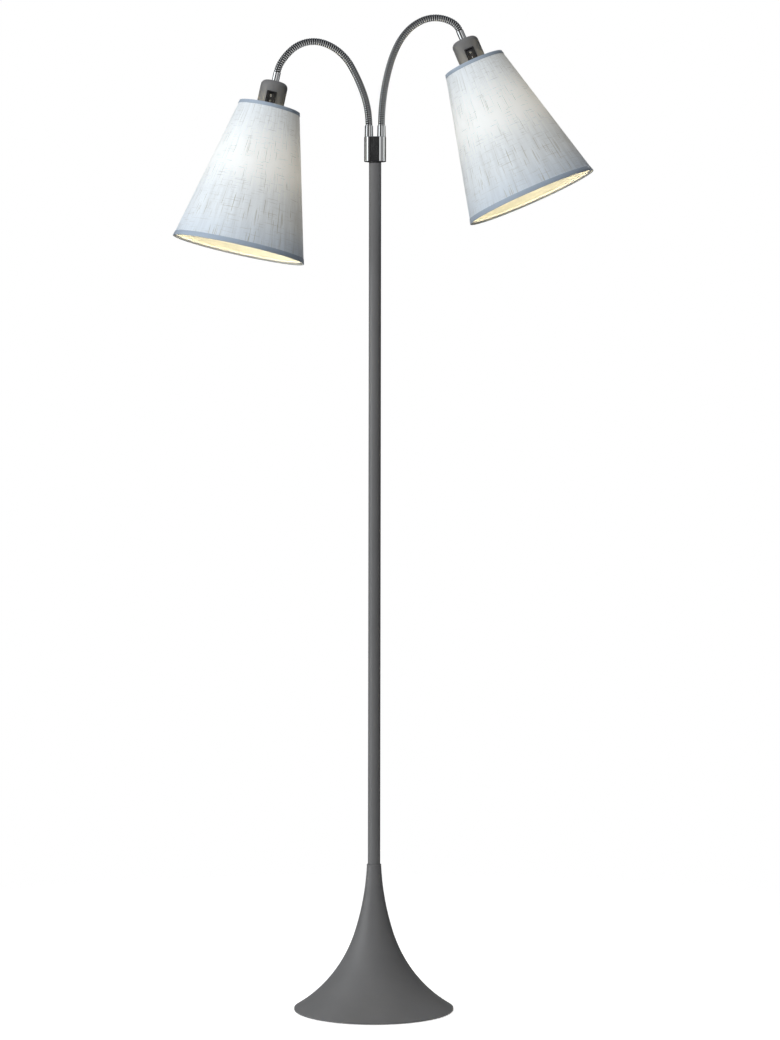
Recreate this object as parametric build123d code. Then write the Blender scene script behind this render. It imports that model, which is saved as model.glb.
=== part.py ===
"""A reading floor lamp: a trumpet base, a slim pole and a twin block that holds two gooseneck arms, each
with a switched lampholder and a conical fabric shade.

Millimetres, +Z up. The origin is on the floor under the pole's axis, +X is to the right of someone who
faces the switches, and +Y is the lamp's back.
"""

from build123d import *
import math
import os

# ---- base -------------------------------------------------------------------------------------------
BASE_RADIUS = 120.0
BASE_WALL = 1.5
BASE_RIM_BOTTOM = 1.0
BASE_RIM_HEIGHT = 2.0
SKIRT_CURVE_RADIUS = 205.0
WAIST_LEAN = 18.0
NECK_CURVE_RADIUS = 385.0
COLLAR_LEAN = 3.0
COLLAR_HEIGHT = 4.0
COLLAR_CHAMFER = 0.8
PAD_THICKNESS = 2.0
PAD_WIDTH = 36.0
PAD_INSET = 3.0
COVER_THICKNESS = 1.5
BALLAST_HEIGHT = 30.0
BALLAST_CHAMFER = 2.0
POCKET_DEPTH = 18.0
POCKET_WIDTH = 21.0
NUT_WELL_RADIUS = 12.0
TERMINAL_SIZE = (18.0, 26.0, 10.0)
TERMINAL_DISTANCE = 24.0
TERMINAL_SCREW_RADIUS = 2.2
TERMINAL_SCREW_DEPTH = 6.0
COVER_SCREW_COUNT = 4
COVER_SCREW_CIRCLE_RADIUS = 58.0
COVER_SCREW_RADIUS = 2.0
COVER_SCREW_DEPTH = 10.0
SCREW_HEAD_RADIUS = 3.8
SCREW_HEAD_HEIGHT = 1.5
GROMMET_RADIUS = 4.8
GROMMET_BORE_RADIUS = 3.0
GROMMET_FLANGE_RADIUS = 6.3
GROMMET_FLANGE_THICKNESS = 2.0
GROMMET_SETBACK = 4.0

# ---- pole and its threaded ends ---------------------------------------------------------------------
POLE_RADIUS = 9.3
POLE_WALL = 1.5
POLE_TOP_Z = 1274.0
PLUG_LENGTH = 20.0
NIPPLE_RADIUS = 5.0
NIPPLE_BORE_RADIUS = 3.9
NIPPLE_GRIP = 15.0
NUT_ACROSS_FLATS = 14.0
NUT_THICKNESS = 5.0
TOP_RING_HEIGHT = 3.0

# ---- twin block and the ferrules on it --------------------------------------------------------------
BLOCK_WIDTH = 33.0
BLOCK_DEPTH = 20.0
BLOCK_HEIGHT = 37.0
BLOCK_WALL = 2.5
BLOCK_ROOF = 8.0
BLOCK_EDGE_RADIUS = 0.8
BLOCK_PLATE_THICKNESS = 5.0
GRUB_RADIUS = 1.5
GRUB_LENGTH = 4.6
GRUB_SPACING = 8.0
NECK_SPACING = 18.9
NECK_FERRULE_RADIUS = 6.5
NECK_FERRULE_TOP_RADIUS = 6.1
NECK_FERRULE_HEIGHT = 17.0
NECK_SPIGOT_RADIUS = 4.2
NECK_SPIGOT_LENGTH = 7.5

# ---- gooseneck arms ---------------------------------------------------------------------------------
NECK_CREST_RADIUS = 5.25
NECK_VALLEY_RADIUS = 4.6
NECK_BORE_RADIUS = 3.0
NECK_BALL_RADIUS = 4.0
NECK_PITCH = 2.88
NECK_TAIL_LENGTH = 8.0
NECK_RIBS = (17, 16, 11, 8, 9, 9, 8, 6)
LEFT_TURNS = (19.1, 10.5, 23.4, 18.6, 30.5, 29.6, 15.4, 20.7)
RIGHT_TURNS = (8.2, 8.3, 10.8, 15.1, 21.3, 29.3, 26.2, 37.3)
# How far each hinge opens and closes, in degrees. The hinges work in pairs: the first three pairs bend
# the arm in its own plane, low, midway and high, and the last pair nods the head to front and back.
LEFT_OPENING = (7.15, 8.58, 11.44, 14.3, 14.3, 14.3, 12.0, 12.0)
LEFT_CLOSING = (1.25, 1.5, 2.0, 2.5, 2.5, 2.5, 12.0, 12.0)
RIGHT_OPENING = (3.06, 4.59, 7.65, 12.24, 15.3, 15.3, 12.0, 12.0)
RIGHT_CLOSING = (0.96, 1.44, 2.4, 3.84, 4.8, 4.8, 12.0, 12.0)
LEAD_RADIUS = 1.6
LEAD_SPACING = 3.6

# ---- lamp heads, along their own axis from the end of the neck --------------------------------------
END_FERRULE_RADIUS = 5.5
END_FERRULE_LENGTH = 15.0
END_STUD_RADIUS = 4.9
CAP_RADIUS = 20.5
CAP_LENGTH = 58.0
CAP_WALL = 1.6
CAP_SHOULDER_RADIUS = 8.0
CAP_BOSS_RADIUS = 8.5
CAP_BOSS_DEPTH = 8.0
SWITCH_DISTANCE = 28.0
SWITCH_WIDTH = 15.0
SWITCH_HEIGHT = 21.0
SWITCH_STAND = 1.0
SWITCH_RIM = 1.0
SWITCH_BODY_DEPTH = 15.0
SWITCH_CORNER_RADIUS = 1.0
ROCKER_WIDTH = 10.2
ROCKER_HEIGHT = 15.6
ROCKER_RISE = 3.0
ROCKER_PROUD = 0.3
ROCKER_KEEL = 2.5
ROCKER_PIN_RADIUS = 1.2
ROCKER_PIN_LENGTH = 1.0
ROCKER_TILT = 10.0
HOLDER_ENGAGEMENT = 16.0
HOLDER_FLANGE_RADIUS = 23.0
HOLDER_FLANGE_THICKNESS = 2.0
HOLDER_SKIRT_RADIUS = 19.5
HOLDER_SKIRT_LENGTH = 30.0
HOLDER_FLOOR = 3.0
CONTACT_RADIUS = 14.0
CONTACT_WALL = 0.5
CONTACT_LENGTH = 22.0
CONTACT_TONGUE = (6.0, 14.0, 0.5)
CAP_SHELL_WALL = 0.5
BULB_TIP_RADIUS = 4.5
BULB_TIP_HEIGHT = 2.2
BULB_BASE_LENGTH = 25.0
BULB_RADIUS = 30.0
BULB_LENGTH = 108.0
BULB_WALL = 1.0
SHADE_RING_RADIUS = 28.0
SHADE_RING_HEIGHT = 8.0
CARRIER_RADIUS = 32.0
CARRIER_THICKNESS = 1.2
CARRIER_ARMS = 3
WIRE_RADIUS = 1.6
WIRE_INSET = 2.6

# ---- shades -----------------------------------------------------------------------------------------
SHADE_DISTANCE = 39.0
SHADE_LENGTH = 220.0
SHADE_TOP_RADIUS = 46.0
SHADE_BOTTOM_RADIUS = 100.4
SHADE_WALL = 0.8
TRIM_THICKNESS = 0.5
TOP_TRIM_HEIGHT = 5.0
BOTTOM_TRIM_HEIGHT = 7.0

# ---- clearances -------------------------------------------------------------------------------------
SLIDE_CLEARANCE = 0.1
THREAD_CLEARANCE = 0.05
PIN_CLEARANCE = 0.05
LOOSE_CLEARANCE = 0.5
HINGE_CLEARANCE = 0.3

# ---- heights and places that follow from the sizes above --------------------------------------------
RIM_TOP_Z = BASE_RIM_BOTTOM + BASE_RIM_HEIGHT
COVER_TOP_Z = PAD_THICKNESS + COVER_THICKNESS
BALLAST_TOP_Z = COVER_TOP_Z + BALLAST_HEIGHT
POCKET_ROOF_Z = COVER_TOP_Z + POCKET_DEPTH
FOOT_NUT_BOTTOM_Z = POCKET_ROOF_Z - NUT_THICKNESS
BLOCK_BOTTOM_Z = POLE_TOP_Z + TOP_RING_HEIGHT
BLOCK_PLATE_TOP_Z = BLOCK_BOTTOM_Z + BLOCK_PLATE_THICKNESS
HEAD_NUT_TOP_Z = BLOCK_PLATE_TOP_Z + NUT_THICKNESS
BLOCK_TOP_Z = BLOCK_BOTTOM_Z + BLOCK_HEIGHT
BLOCK_ROOF_Z = BLOCK_TOP_Z - BLOCK_ROOF
NECK_FOOT_Z = BLOCK_TOP_Z + NECK_FERRULE_HEIGHT
GROMMET_Z = COVER_TOP_Z + LOOSE_CLEARANCE + GROMMET_FLANGE_RADIUS
CAP_TOP = END_FERRULE_LENGTH
CAP_BOTTOM = CAP_TOP + CAP_LENGTH
CAP_BORE_RADIUS = CAP_RADIUS - CAP_WALL
SWITCH_CENTRE = CAP_TOP + SWITCH_DISTANCE
SWITCH_FACE = CAP_RADIUS + SWITCH_STAND
HOLDER_TOP = CAP_BOTTOM - HOLDER_ENGAGEMENT
FLANGE_BOTTOM = CAP_BOTTOM + HOLDER_FLANGE_THICKNESS
SOCKET_FLOOR = FLANGE_BOTTOM + HOLDER_FLOOR
HOLDER_MOUTH = FLANGE_BOTTOM + HOLDER_SKIRT_LENGTH
CARRIER_BOTTOM = FLANGE_BOTTOM + CARRIER_THICKNESS
BULB_TIP = SOCKET_FLOOR + CONTACT_TONGUE[2] + SLIDE_CLEARANCE
BULB_BASE_RADIUS = CONTACT_RADIUS - CONTACT_WALL - SLIDE_CLEARANCE
BULB_GLASS_START = BULB_TIP + BULB_BASE_LENGTH
SHADE_TOP = CAP_TOP + SHADE_DISTANCE
SHADE_BOTTOM = SHADE_TOP + SHADE_LENGTH
SHADE_SLOPE = (SHADE_BOTTOM_RADIUS - SHADE_TOP_RADIUS) / SHADE_LENGTH
SHADE_SECANT = math.hypot(1, SHADE_SLOPE)
# Each rib of a neck: how far along its pitch each circle stands, and the circle's radius.
RIB_CIRCLES = (
    (0.08, NECK_VALLEY_RADIUS),
    (0.30, NECK_CREST_RADIUS),
    (0.70, NECK_CREST_RADIUS),
    (0.92, NECK_VALLEY_RADIUS),
)
ARMS = {
    "left": (-1, LEFT_TURNS, LEFT_OPENING, LEFT_CLOSING),
    "right": (1, RIGHT_TURNS, RIGHT_OPENING, RIGHT_CLOSING),
}


# ---- plain shapes -----------------------------------------------------------------------------------
def rod(radius, low, high):
    """A round bar along Z between two heights."""
    bar = Cylinder(radius, high - low, align=(Align.CENTER, Align.CENTER, Align.MIN))
    return Pos(0, 0, low) * bar


def tube(outer, inner, low, high):
    return rod(outer, low, high) - rod(inner, low, high)


def block(x_range, y_range, z_range):
    """A box between two corners, each range a (low, high) pair."""
    size = [high - low for low, high in (x_range, y_range, z_range)]
    corner = Pos(x_range[0], y_range[0], z_range[0])
    return corner * Box(*size, align=(Align.MIN, Align.MIN, Align.MIN))


def turned(points):
    """A solid turned about Z from a closed outline of (radius, height) points."""
    outline = Polyline(*[(radius, 0, height) for radius, height in points], close=True)
    return revolve(make_face(outline), Axis.Z)


def hex_nut(bottom):
    hexagon = RegularPolygon(NUT_ACROSS_FLATS / 2, 6, major_radius=False)
    nut = extrude(Pos(0, 0, bottom) * hexagon, NUT_THICKNESS)
    bore = rod(NIPPLE_RADIUS + THREAD_CLEARANCE, bottom, bottom + NUT_THICKNESS)
    return nut - bore


def stadium(width, depth, bottom, height):
    return extrude(Pos(0, 0, bottom) * SlotOverall(width, depth), height)


# ---- base -------------------------------------------------------------------------------------------
def flare_arcs():
    """The trumpet's two tangent arcs, each as its centre (radius, height), its curve and the leans
    from upright, in radians, where it starts and ends. The first is the waist, the second the skirt."""
    collar = math.radians(COLLAR_LEAN)
    waist = math.radians(WAIST_LEAN)
    neck_radius = POLE_RADIUS + SLIDE_CLEARANCE + BASE_WALL
    waist_radius = neck_radius + NECK_CURVE_RADIUS * (math.cos(collar) - math.cos(waist))
    rim = math.acos(math.cos(waist) - (BASE_RADIUS - waist_radius) / SKIRT_CURVE_RADIUS)
    waist_z = RIM_TOP_Z + SKIRT_CURVE_RADIUS * (math.sin(rim) - math.sin(waist))
    skirt_centre = (
        waist_radius + SKIRT_CURVE_RADIUS * math.cos(waist),
        waist_z + SKIRT_CURVE_RADIUS * math.sin(waist),
    )
    neck_centre = (
        waist_radius + NECK_CURVE_RADIUS * math.cos(waist),
        waist_z + NECK_CURVE_RADIUS * math.sin(waist),
    )
    return (
        (neck_centre, NECK_CURVE_RADIUS, collar, waist),
        (skirt_centre, SKIRT_CURVE_RADIUS, waist, rim),
    )


def on_arc(centre, curve, lean):
    return (centre[0] - curve * math.cos(lean), 0, centre[1] - curve * math.sin(lean))


def flare_arc(centre, curve, start, end):
    middle = (start + end) / 2
    return ThreePointArc(*[on_arc(centre, curve, lean) for lean in (start, middle, end)])


def inside_of_base(height):
    """The radius that the base shell leaves free at a height on its skirt."""
    centre, curve, _, _ = flare_arcs()[1]
    inner_curve = curve + BASE_WALL
    lean = math.asin((centre[1] - height) / inner_curve)
    return min(centre[0] - inner_curve * math.cos(lean), BASE_RADIUS - BASE_WALL)


def base_shell():
    """The spun trumpet, from the straight collar round the pole to the rolled rim."""
    waist_arc, skirt_arc = flare_arcs()
    waist_centre, waist_curve, collar_lean, waist_lean = waist_arc
    skirt_centre, skirt_curve, _, rim_lean = skirt_arc
    neck_radius, _, neck_z = on_arc(waist_centre, waist_curve, collar_lean)
    collar_top = neck_z + COLLAR_HEIGHT
    bore = neck_radius - BASE_WALL
    rim_inside = BASE_RADIUS - BASE_WALL
    rim_inside_lean = math.acos((skirt_centre[0] - rim_inside) / (skirt_curve + BASE_WALL))
    inner_rim = on_arc(skirt_centre, skirt_curve + BASE_WALL, rim_inside_lean)
    inner_neck = on_arc(waist_centre, waist_curve + BASE_WALL, collar_lean)
    outline = [
        flare_arc(waist_centre, waist_curve, collar_lean, waist_lean),
        flare_arc(skirt_centre, skirt_curve, waist_lean, rim_lean),
        Polyline((BASE_RADIUS, 0, RIM_TOP_Z), (BASE_RADIUS, 0, BASE_RIM_BOTTOM),
                 (rim_inside, 0, BASE_RIM_BOTTOM), inner_rim),
        flare_arc(skirt_centre, skirt_curve + BASE_WALL, rim_inside_lean, waist_lean),
        flare_arc(waist_centre, waist_curve + BASE_WALL, waist_lean, collar_lean),
        Polyline(inner_neck, (bore, 0, collar_top), (neck_radius - COLLAR_CHAMFER, 0, collar_top),
                 (neck_radius, 0, collar_top - COLLAR_CHAMFER), (neck_radius, 0, neck_z)),
    ]
    edges = [edge for curve in outline for edge in curve.edges()]
    shell = revolve(Face(Wire(edges)), Axis.Z)
    drill_length = BASE_RADIUS - grommet_seat()
    return shell - along_back(GROMMET_RADIUS + THREAD_CLEARANCE, drill_length, BASE_RADIUS)


def along_back(radius, length, end):
    """A round bar that points to the back at the cord's height and ends at a distance from the pole."""
    bar = Cylinder(radius, length, rotation=(90, 0, 0), align=(Align.CENTER, Align.CENTER, Align.MIN))
    return Pos(0, end, GROMMET_Z) * bar


def grommet_seat():
    """How far from the pole the bush's flange meets the inside of the skirt."""
    return inside_of_base(GROMMET_Z + GROMMET_FLANGE_RADIUS) - LOOSE_CLEARANCE


def cable_grommet():
    """The bush in the back of the skirt, flanged on the inside, where the mains cord would enter."""
    outer_end = BASE_RADIUS - GROMMET_SETBACK
    length = outer_end - grommet_seat() + GROMMET_FLANGE_THICKNESS
    barrel = along_back(GROMMET_RADIUS, length, outer_end)
    flange = along_back(GROMMET_FLANGE_RADIUS, GROMMET_FLANGE_THICKNESS, grommet_seat())
    return barrel + flange - along_back(GROMMET_BORE_RADIUS, length, outer_end)


def screw_places():
    return PolarLocations(COVER_SCREW_CIRCLE_RADIUS, COVER_SCREW_COUNT, start_angle=180 / COVER_SCREW_COUNT)


def ballast_weight():
    """The cast weight, with a nut well in its underside and a channel from there to the back."""
    radius = inside_of_base(BALLAST_TOP_Z) - LOOSE_CLEARANCE
    weight = rod(radius, COVER_TOP_Z, BALLAST_TOP_Z)
    weight = chamfer(weight.edges().group_by(Axis.Z)[-1], BALLAST_CHAMFER)
    weight -= rod(NUT_WELL_RADIUS, COVER_TOP_Z, POCKET_ROOF_Z)
    half = POCKET_WIDTH / 2
    weight -= block((-half, half), (0, BASE_RADIUS), (COVER_TOP_Z, POCKET_ROOF_Z))
    weight -= rod(NIPPLE_RADIUS + SLIDE_CLEARANCE, COVER_TOP_Z, BALLAST_TOP_Z)
    hole_top = COVER_TOP_Z + COVER_SCREW_DEPTH + LOOSE_CLEARANCE
    hole = rod(COVER_SCREW_RADIUS + THREAD_CLEARANCE, COVER_TOP_Z, hole_top)
    return weight - screw_places() * hole


def cover_radius():
    return inside_of_base(COVER_TOP_Z) - LOOSE_CLEARANCE


def base_cover_plate():
    plate = rod(cover_radius(), PAD_THICKNESS, COVER_TOP_Z)
    hole = rod(COVER_SCREW_RADIUS + SLIDE_CLEARANCE, PAD_THICKNESS, COVER_TOP_Z)
    return plate - screw_places() * hole


def base_felt_pad():
    outer = cover_radius() - PAD_INSET
    return tube(outer, outer - PAD_WIDTH, 0, PAD_THICKNESS)


def cover_screws():
    shank = rod(COVER_SCREW_RADIUS, PAD_THICKNESS, COVER_TOP_Z + COVER_SCREW_DEPTH)
    head = rod(SCREW_HEAD_RADIUS, PAD_THICKNESS - SCREW_HEAD_HEIGHT, PAD_THICKNESS)
    return Compound(children=[place * (head + shank) for place in screw_places()])


def terminal_block():
    """The connector in the weight's channel, where the arms' leads meet the mains cord."""
    width, length, height = TERMINAL_SIZE
    bottom = COVER_TOP_Z + SLIDE_CLEARANCE
    top = bottom + height
    body = block((-width / 2, width / 2), (TERMINAL_DISTANCE, TERMINAL_DISTANCE + length), (bottom, top))
    screw_well = rod(TERMINAL_SCREW_RADIUS, top - TERMINAL_SCREW_DEPTH, top)
    middle = Pos(0, TERMINAL_DISTANCE + length / 2, 0)
    return body - [middle * place * screw_well for place in GridLocations(width / 2, length / 2, 2, 2)]


# ---- pole -------------------------------------------------------------------------------------------
def pole_tube():
    return tube(POLE_RADIUS, POLE_RADIUS - POLE_WALL, BALLAST_TOP_Z, POLE_TOP_Z)


def plug_radius():
    return POLE_RADIUS - POLE_WALL - THREAD_CLEARANCE


def pole_foot_plug():
    bore = NIPPLE_RADIUS + THREAD_CLEARANCE
    return tube(plug_radius(), bore, BALLAST_TOP_Z, BALLAST_TOP_Z + PLUG_LENGTH)


def base_nipple():
    return tube(NIPPLE_RADIUS, NIPPLE_BORE_RADIUS, FOOT_NUT_BOTTOM_Z, BALLAST_TOP_Z + NIPPLE_GRIP)


def clamp_nuts():
    """One nut draws the pole down on the weight, the other the block down on the pole."""
    return Compound(children=[hex_nut(FOOT_NUT_BOTTOM_Z), hex_nut(BLOCK_PLATE_TOP_Z)])


def pole_head_plug():
    """The plug in the pole's top, with the hollow threaded stub that carries the block."""
    plug = rod(plug_radius(), POLE_TOP_Z - PLUG_LENGTH, POLE_TOP_Z)
    stub = rod(NIPPLE_RADIUS, POLE_TOP_Z, HEAD_NUT_TOP_Z)
    return plug + stub - rod(NIPPLE_BORE_RADIUS, POLE_TOP_Z - PLUG_LENGTH, HEAD_NUT_TOP_Z)


def pole_top_ring():
    return tube(POLE_RADIUS, NIPPLE_RADIUS + SLIDE_CLEARANCE, POLE_TOP_Z, BLOCK_BOTTOM_Z)


# ---- twin block -------------------------------------------------------------------------------------
def at_necks(shape):
    return [Pos(side * NECK_SPACING / 2, 0, 0) * shape for side in (-1, 1)]


def at_grubs(radius, length):
    """Round bars that point to the back, level with the middle of the block's plate."""
    bar = Cylinder(radius, length, rotation=(90, 0, 0), align=(Align.CENTER, Align.CENTER, Align.MIN))
    height = BLOCK_BOTTOM_Z + BLOCK_PLATE_THICKNESS / 2
    return [Pos(side * GRUB_SPACING / 2, BLOCK_DEPTH / 2, height) * bar for side in (-1, 1)]


def arm_block():
    """The hollow stadium block, open at the bottom."""
    body = stadium(BLOCK_WIDTH, BLOCK_DEPTH, BLOCK_BOTTOM_Z, BLOCK_HEIGHT)
    body = fillet(body.edges().group_by(Axis.Z)[-1], BLOCK_EDGE_RADIUS)
    hollow = stadium(BLOCK_WIDTH - 2 * BLOCK_WALL, BLOCK_DEPTH - 2 * BLOCK_WALL, BLOCK_BOTTOM_Z,
                     BLOCK_HEIGHT - BLOCK_ROOF)
    body -= hollow
    body -= at_necks(rod(NECK_SPIGOT_RADIUS + THREAD_CLEARANCE, BLOCK_ROOF_Z, BLOCK_TOP_Z))
    return body - at_grubs(GRUB_RADIUS + THREAD_CLEARANCE, GRUB_LENGTH)


def block_base_plate():
    inset = 2 * (BLOCK_WALL + THREAD_CLEARANCE)
    plate = stadium(BLOCK_WIDTH - inset, BLOCK_DEPTH - inset, BLOCK_BOTTOM_Z, BLOCK_PLATE_THICKNESS)
    plate -= rod(NIPPLE_RADIUS + SLIDE_CLEARANCE, BLOCK_BOTTOM_Z, BLOCK_PLATE_TOP_Z)
    return plate - at_grubs(GRUB_RADIUS + THREAD_CLEARANCE, GRUB_LENGTH)


def block_grub_screws():
    return Compound(children=at_grubs(GRUB_RADIUS, GRUB_LENGTH))


def neck_ferrules():
    """The two sleeves on the block, each with a spigot below and a socket for the neck's tail."""
    sleeve = Pos(0, 0, BLOCK_TOP_Z) * Cone(NECK_FERRULE_RADIUS, NECK_FERRULE_TOP_RADIUS, NECK_FERRULE_HEIGHT,
                                           align=(Align.CENTER, Align.CENTER, Align.MIN))
    sleeve += rod(NECK_SPIGOT_RADIUS, BLOCK_TOP_Z - NECK_SPIGOT_LENGTH, BLOCK_TOP_Z)
    sleeve -= rod(NECK_BORE_RADIUS, BLOCK_TOP_Z - NECK_SPIGOT_LENGTH, NECK_FOOT_Z)
    sleeve -= rod(NECK_VALLEY_RADIUS + THREAD_CLEARANCE, NECK_FOOT_Z - NECK_TAIL_LENGTH, NECK_FOOT_Z)
    return Compound(children=at_necks(sleeve))


# ---- gooseneck arms ---------------------------------------------------------------------------------
def along_segment(start, side, ribs, turn, passed):
    """Where a segment's centreline is after a number of ribs: x, z and its lean from upright."""
    x, z, lean = start
    bend = math.radians(turn)
    radius = ribs * NECK_PITCH / bend
    lean_here = lean + bend * passed / ribs
    x += side * radius * (math.cos(lean) - math.cos(lean_here))
    z += radius * (math.sin(lean_here) - math.sin(lean))
    return (x, z, lean_here)


def neck_joints(side, turns):
    """The centreline's points from the ferrule, past each hinge, to the lamp head."""
    joints = [(side * NECK_SPACING / 2, NECK_FOOT_Z, 0.0)]
    for ribs, turn in zip(NECK_RIBS, turns):
        joints.append(along_segment(joints[-1], side, ribs, turn, ribs))
    return joints


def neck_plane(side, station, forward=0.0, tilt=0.0):
    """The plane square to the neck at a station, moved forward along it and tilted towards its bend."""
    x, z, lean = station
    x += side * forward * math.sin(lean)
    z += forward * math.cos(lean)
    lean += tilt
    return Plane(origin=(x, 0, z), x_dir=(0, 1, 0), z_dir=(side * math.sin(lean), 0, math.cos(lean)))


def half_gap(opening, closing, radius):
    """Half the room that a hinge needs at the neck's centre to swing through its range."""
    return HINGE_CLEARANCE / 2 + radius * math.tan(math.radians(opening + closing) / 4)


def half_lean(opening, closing):
    """How far each end face leans, so that a one-sided range is shared by both sides of the neck."""
    return math.radians(opening - closing) / 4


def neck_segment(side, turns, opening, closing, number):
    """One stretch of ribbed hose: a hollow ball at its lower end, which turns in the cup at the upper end
    of the stretch before, with room for the hinge's swing, and the bore through it all."""
    joints = neck_joints(side, turns)
    start, end = joints[number - 1], joints[number]
    ribs, turn = NECK_RIBS[number - 1], turns[number - 1]
    below = NECK_TAIL_LENGTH if number == 1 else 2 * NECK_BALL_RADIUS
    circles = []
    bore = [neck_plane(side, start, -below) * Circle(NECK_BORE_RADIUS)]
    if number == 1:
        circles.append(neck_plane(side, start, -below) * Circle(NECK_VALLEY_RADIUS))
    for rib in range(ribs):
        for share, radius in RIB_CIRCLES:
            station = along_segment(start, side, ribs, turn, rib + share)
            circles.append(neck_plane(side, station) * Circle(radius))
    for rib in range(ribs + 1):
        station = along_segment(start, side, ribs, turn, rib)
        bore.append(neck_plane(side, station) * Circle(NECK_BORE_RADIUS))
    hose = loft(circles, ruled=True)
    swing = opening[number - 1], closing[number - 1]
    widest = END_FERRULE_RADIUS if number == len(NECK_RIBS) else NECK_CREST_RADIUS
    cut = neck_plane(side, end, -half_gap(*swing, widest), -half_lean(*swing))
    hose = split(hose, bisect_by=cut, keep=Keep.BOTTOM)
    hose -= neck_plane(side, end) * Sphere(NECK_BALL_RADIUS + HINGE_CLEARANCE)
    if number > 1:
        swing = opening[number - 2], closing[number - 2]
        cut = neck_plane(side, start, half_gap(*swing, NECK_CREST_RADIUS), half_lean(*swing))
        hose = split(hose, bisect_by=cut, keep=Keep.TOP)
        hose += neck_plane(side, start) * Sphere(NECK_BALL_RADIUS)
    return hose - loft(bore, ruled=True)


def lead_path(side, turns):
    """The arm's lead: from the stub's mouth across the block, up the ferrule, along the neck's bore and
    down to the lampholder."""
    near_x = side * LEAD_SPACING / 2
    far_x = side * NECK_SPACING / 2
    rise = BLOCK_ROOF_Z - HEAD_NUT_TOP_Z
    shift = abs(far_x - near_x)
    swing = 2 * math.atan2(shift, rise)
    radius = rise / 2 / math.sin(swing)
    print("lead bend in the block", round(radius, 1))
    bow_x = side * radius * (1 - math.cos(swing / 2))
    bow_z = radius * math.sin(swing / 2)
    middle = ((near_x + far_x) / 2, 0, (HEAD_NUT_TOP_Z + BLOCK_ROOF_Z) / 2)
    first = ThreePointArc((near_x, 0, HEAD_NUT_TOP_Z), (near_x + bow_x, 0, HEAD_NUT_TOP_Z + bow_z), middle)
    second = ThreePointArc(middle, (far_x - bow_x, 0, BLOCK_ROOF_Z - bow_z), (far_x, 0, BLOCK_ROOF_Z))
    pieces = [first, second, Line((far_x, 0, BLOCK_ROOF_Z), (far_x, 0, NECK_FOOT_Z))]
    joints = neck_joints(side, turns)
    for number, (ribs, turn) in enumerate(zip(NECK_RIBS, turns)):
        start, end = joints[number], joints[number + 1]
        halfway = along_segment(start, side, ribs, turn, ribs / 2)
        pieces.append(ThreePointArc(*[(x, 0, z) for x, z, _ in (start, halfway, end)]))
    x, z, lean = joints[-1]
    foot = (x + side * HOLDER_TOP * math.sin(lean), 0, z + HOLDER_TOP * math.cos(lean))
    pieces.append(Line((x, 0, z), foot))
    return Wire([edge for piece in pieces for edge in piece.edges()])


def lead(side, turns):
    path = lead_path(side, turns)
    section = Plane(path.position_at(0), z_dir=path.tangent_at(0)) * Circle(LEAD_RADIUS)
    cord = sweep(section, path=path)
    print("lead volume over section times length", round(cord.volume / (section.area * path.length), 4))
    return cord


def pole_leads():
    """The two leads from the block down the pole, round under the weight and into the terminal block."""
    lowest = COVER_TOP_Z + LOOSE_CLEARANCE + LEAD_RADIUS
    bend = FOOT_NUT_BOTTOM_Z - lowest
    print("lead bend under the weight", round(bend, 1))
    leads = []
    for side in (-1, 1):
        x = side * LEAD_SPACING / 2
        corner = math.sqrt(0.5)
        turn_middle = (x, bend * (1 - corner), FOOT_NUT_BOTTOM_Z - bend * corner)
        drop = Line((x, 0, HEAD_NUT_TOP_Z), (x, 0, FOOT_NUT_BOTTOM_Z))
        turn = ThreePointArc((x, 0, FOOT_NUT_BOTTOM_Z), turn_middle, (x, bend, lowest))
        run = Line((x, bend, lowest), (x, TERMINAL_DISTANCE, lowest))
        path = Wire([drop.edge(), turn.edge(), run.edge()])
        section = Plane((x, 0, HEAD_NUT_TOP_Z), z_dir=(0, 0, -1)) * Circle(LEAD_RADIUS)
        leads.append(sweep(section, path=path))
    return Compound(children=leads)


# ---- lamp head: Z runs from the neck to the shade's mouth, +X faces the switch ----------------------
def end_ferrule(opening, closing):
    start = half_gap(opening[-1], closing[-1], END_FERRULE_RADIUS)
    stud_end = CAP_TOP + CAP_WALL + CAP_BOSS_DEPTH
    sleeve = rod(END_FERRULE_RADIUS, start, END_FERRULE_LENGTH)
    sleeve += rod(END_STUD_RADIUS, END_FERRULE_LENGTH, stud_end)
    sleeve += Sphere(NECK_BALL_RADIUS)
    return sleeve - rod(NECK_BORE_RADIUS, -NECK_BALL_RADIUS, stud_end)


def switch_window(clearance):
    """The barrel of the switch, or the window for it, square through the cap's front wall."""
    half_width = SWITCH_WIDTH / 2 - SWITCH_RIM + clearance
    half_height = SWITCH_HEIGHT / 2 - SWITCH_RIM + clearance
    return block((SWITCH_FACE - SWITCH_BODY_DEPTH - SWITCH_STAND, CAP_RADIUS + clearance),
                 (-half_width, half_width),
                 (SWITCH_CENTRE - half_height, SWITCH_CENTRE + half_height))


def holder_cap():
    """The turned cap over the lampholder, with a threaded boss inside its top."""
    outside = rod(CAP_RADIUS, CAP_TOP, CAP_BOTTOM)
    outside = fillet(outside.edges().group_by(Axis.Z)[0], CAP_SHOULDER_RADIUS)
    inside = rod(CAP_BORE_RADIUS, CAP_TOP + CAP_WALL, CAP_BOTTOM)
    inside = fillet(inside.edges().group_by(Axis.Z)[0], CAP_SHOULDER_RADIUS - CAP_WALL)
    cap = outside - inside + rod(CAP_BOSS_RADIUS, CAP_TOP + CAP_WALL, CAP_TOP + CAP_WALL + CAP_BOSS_DEPTH)
    cap -= rod(END_STUD_RADIUS + THREAD_CLEARANCE, CAP_TOP, CAP_TOP + CAP_WALL + CAP_BOSS_DEPTH)
    return cap - switch_window(SLIDE_CLEARANCE)


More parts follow.
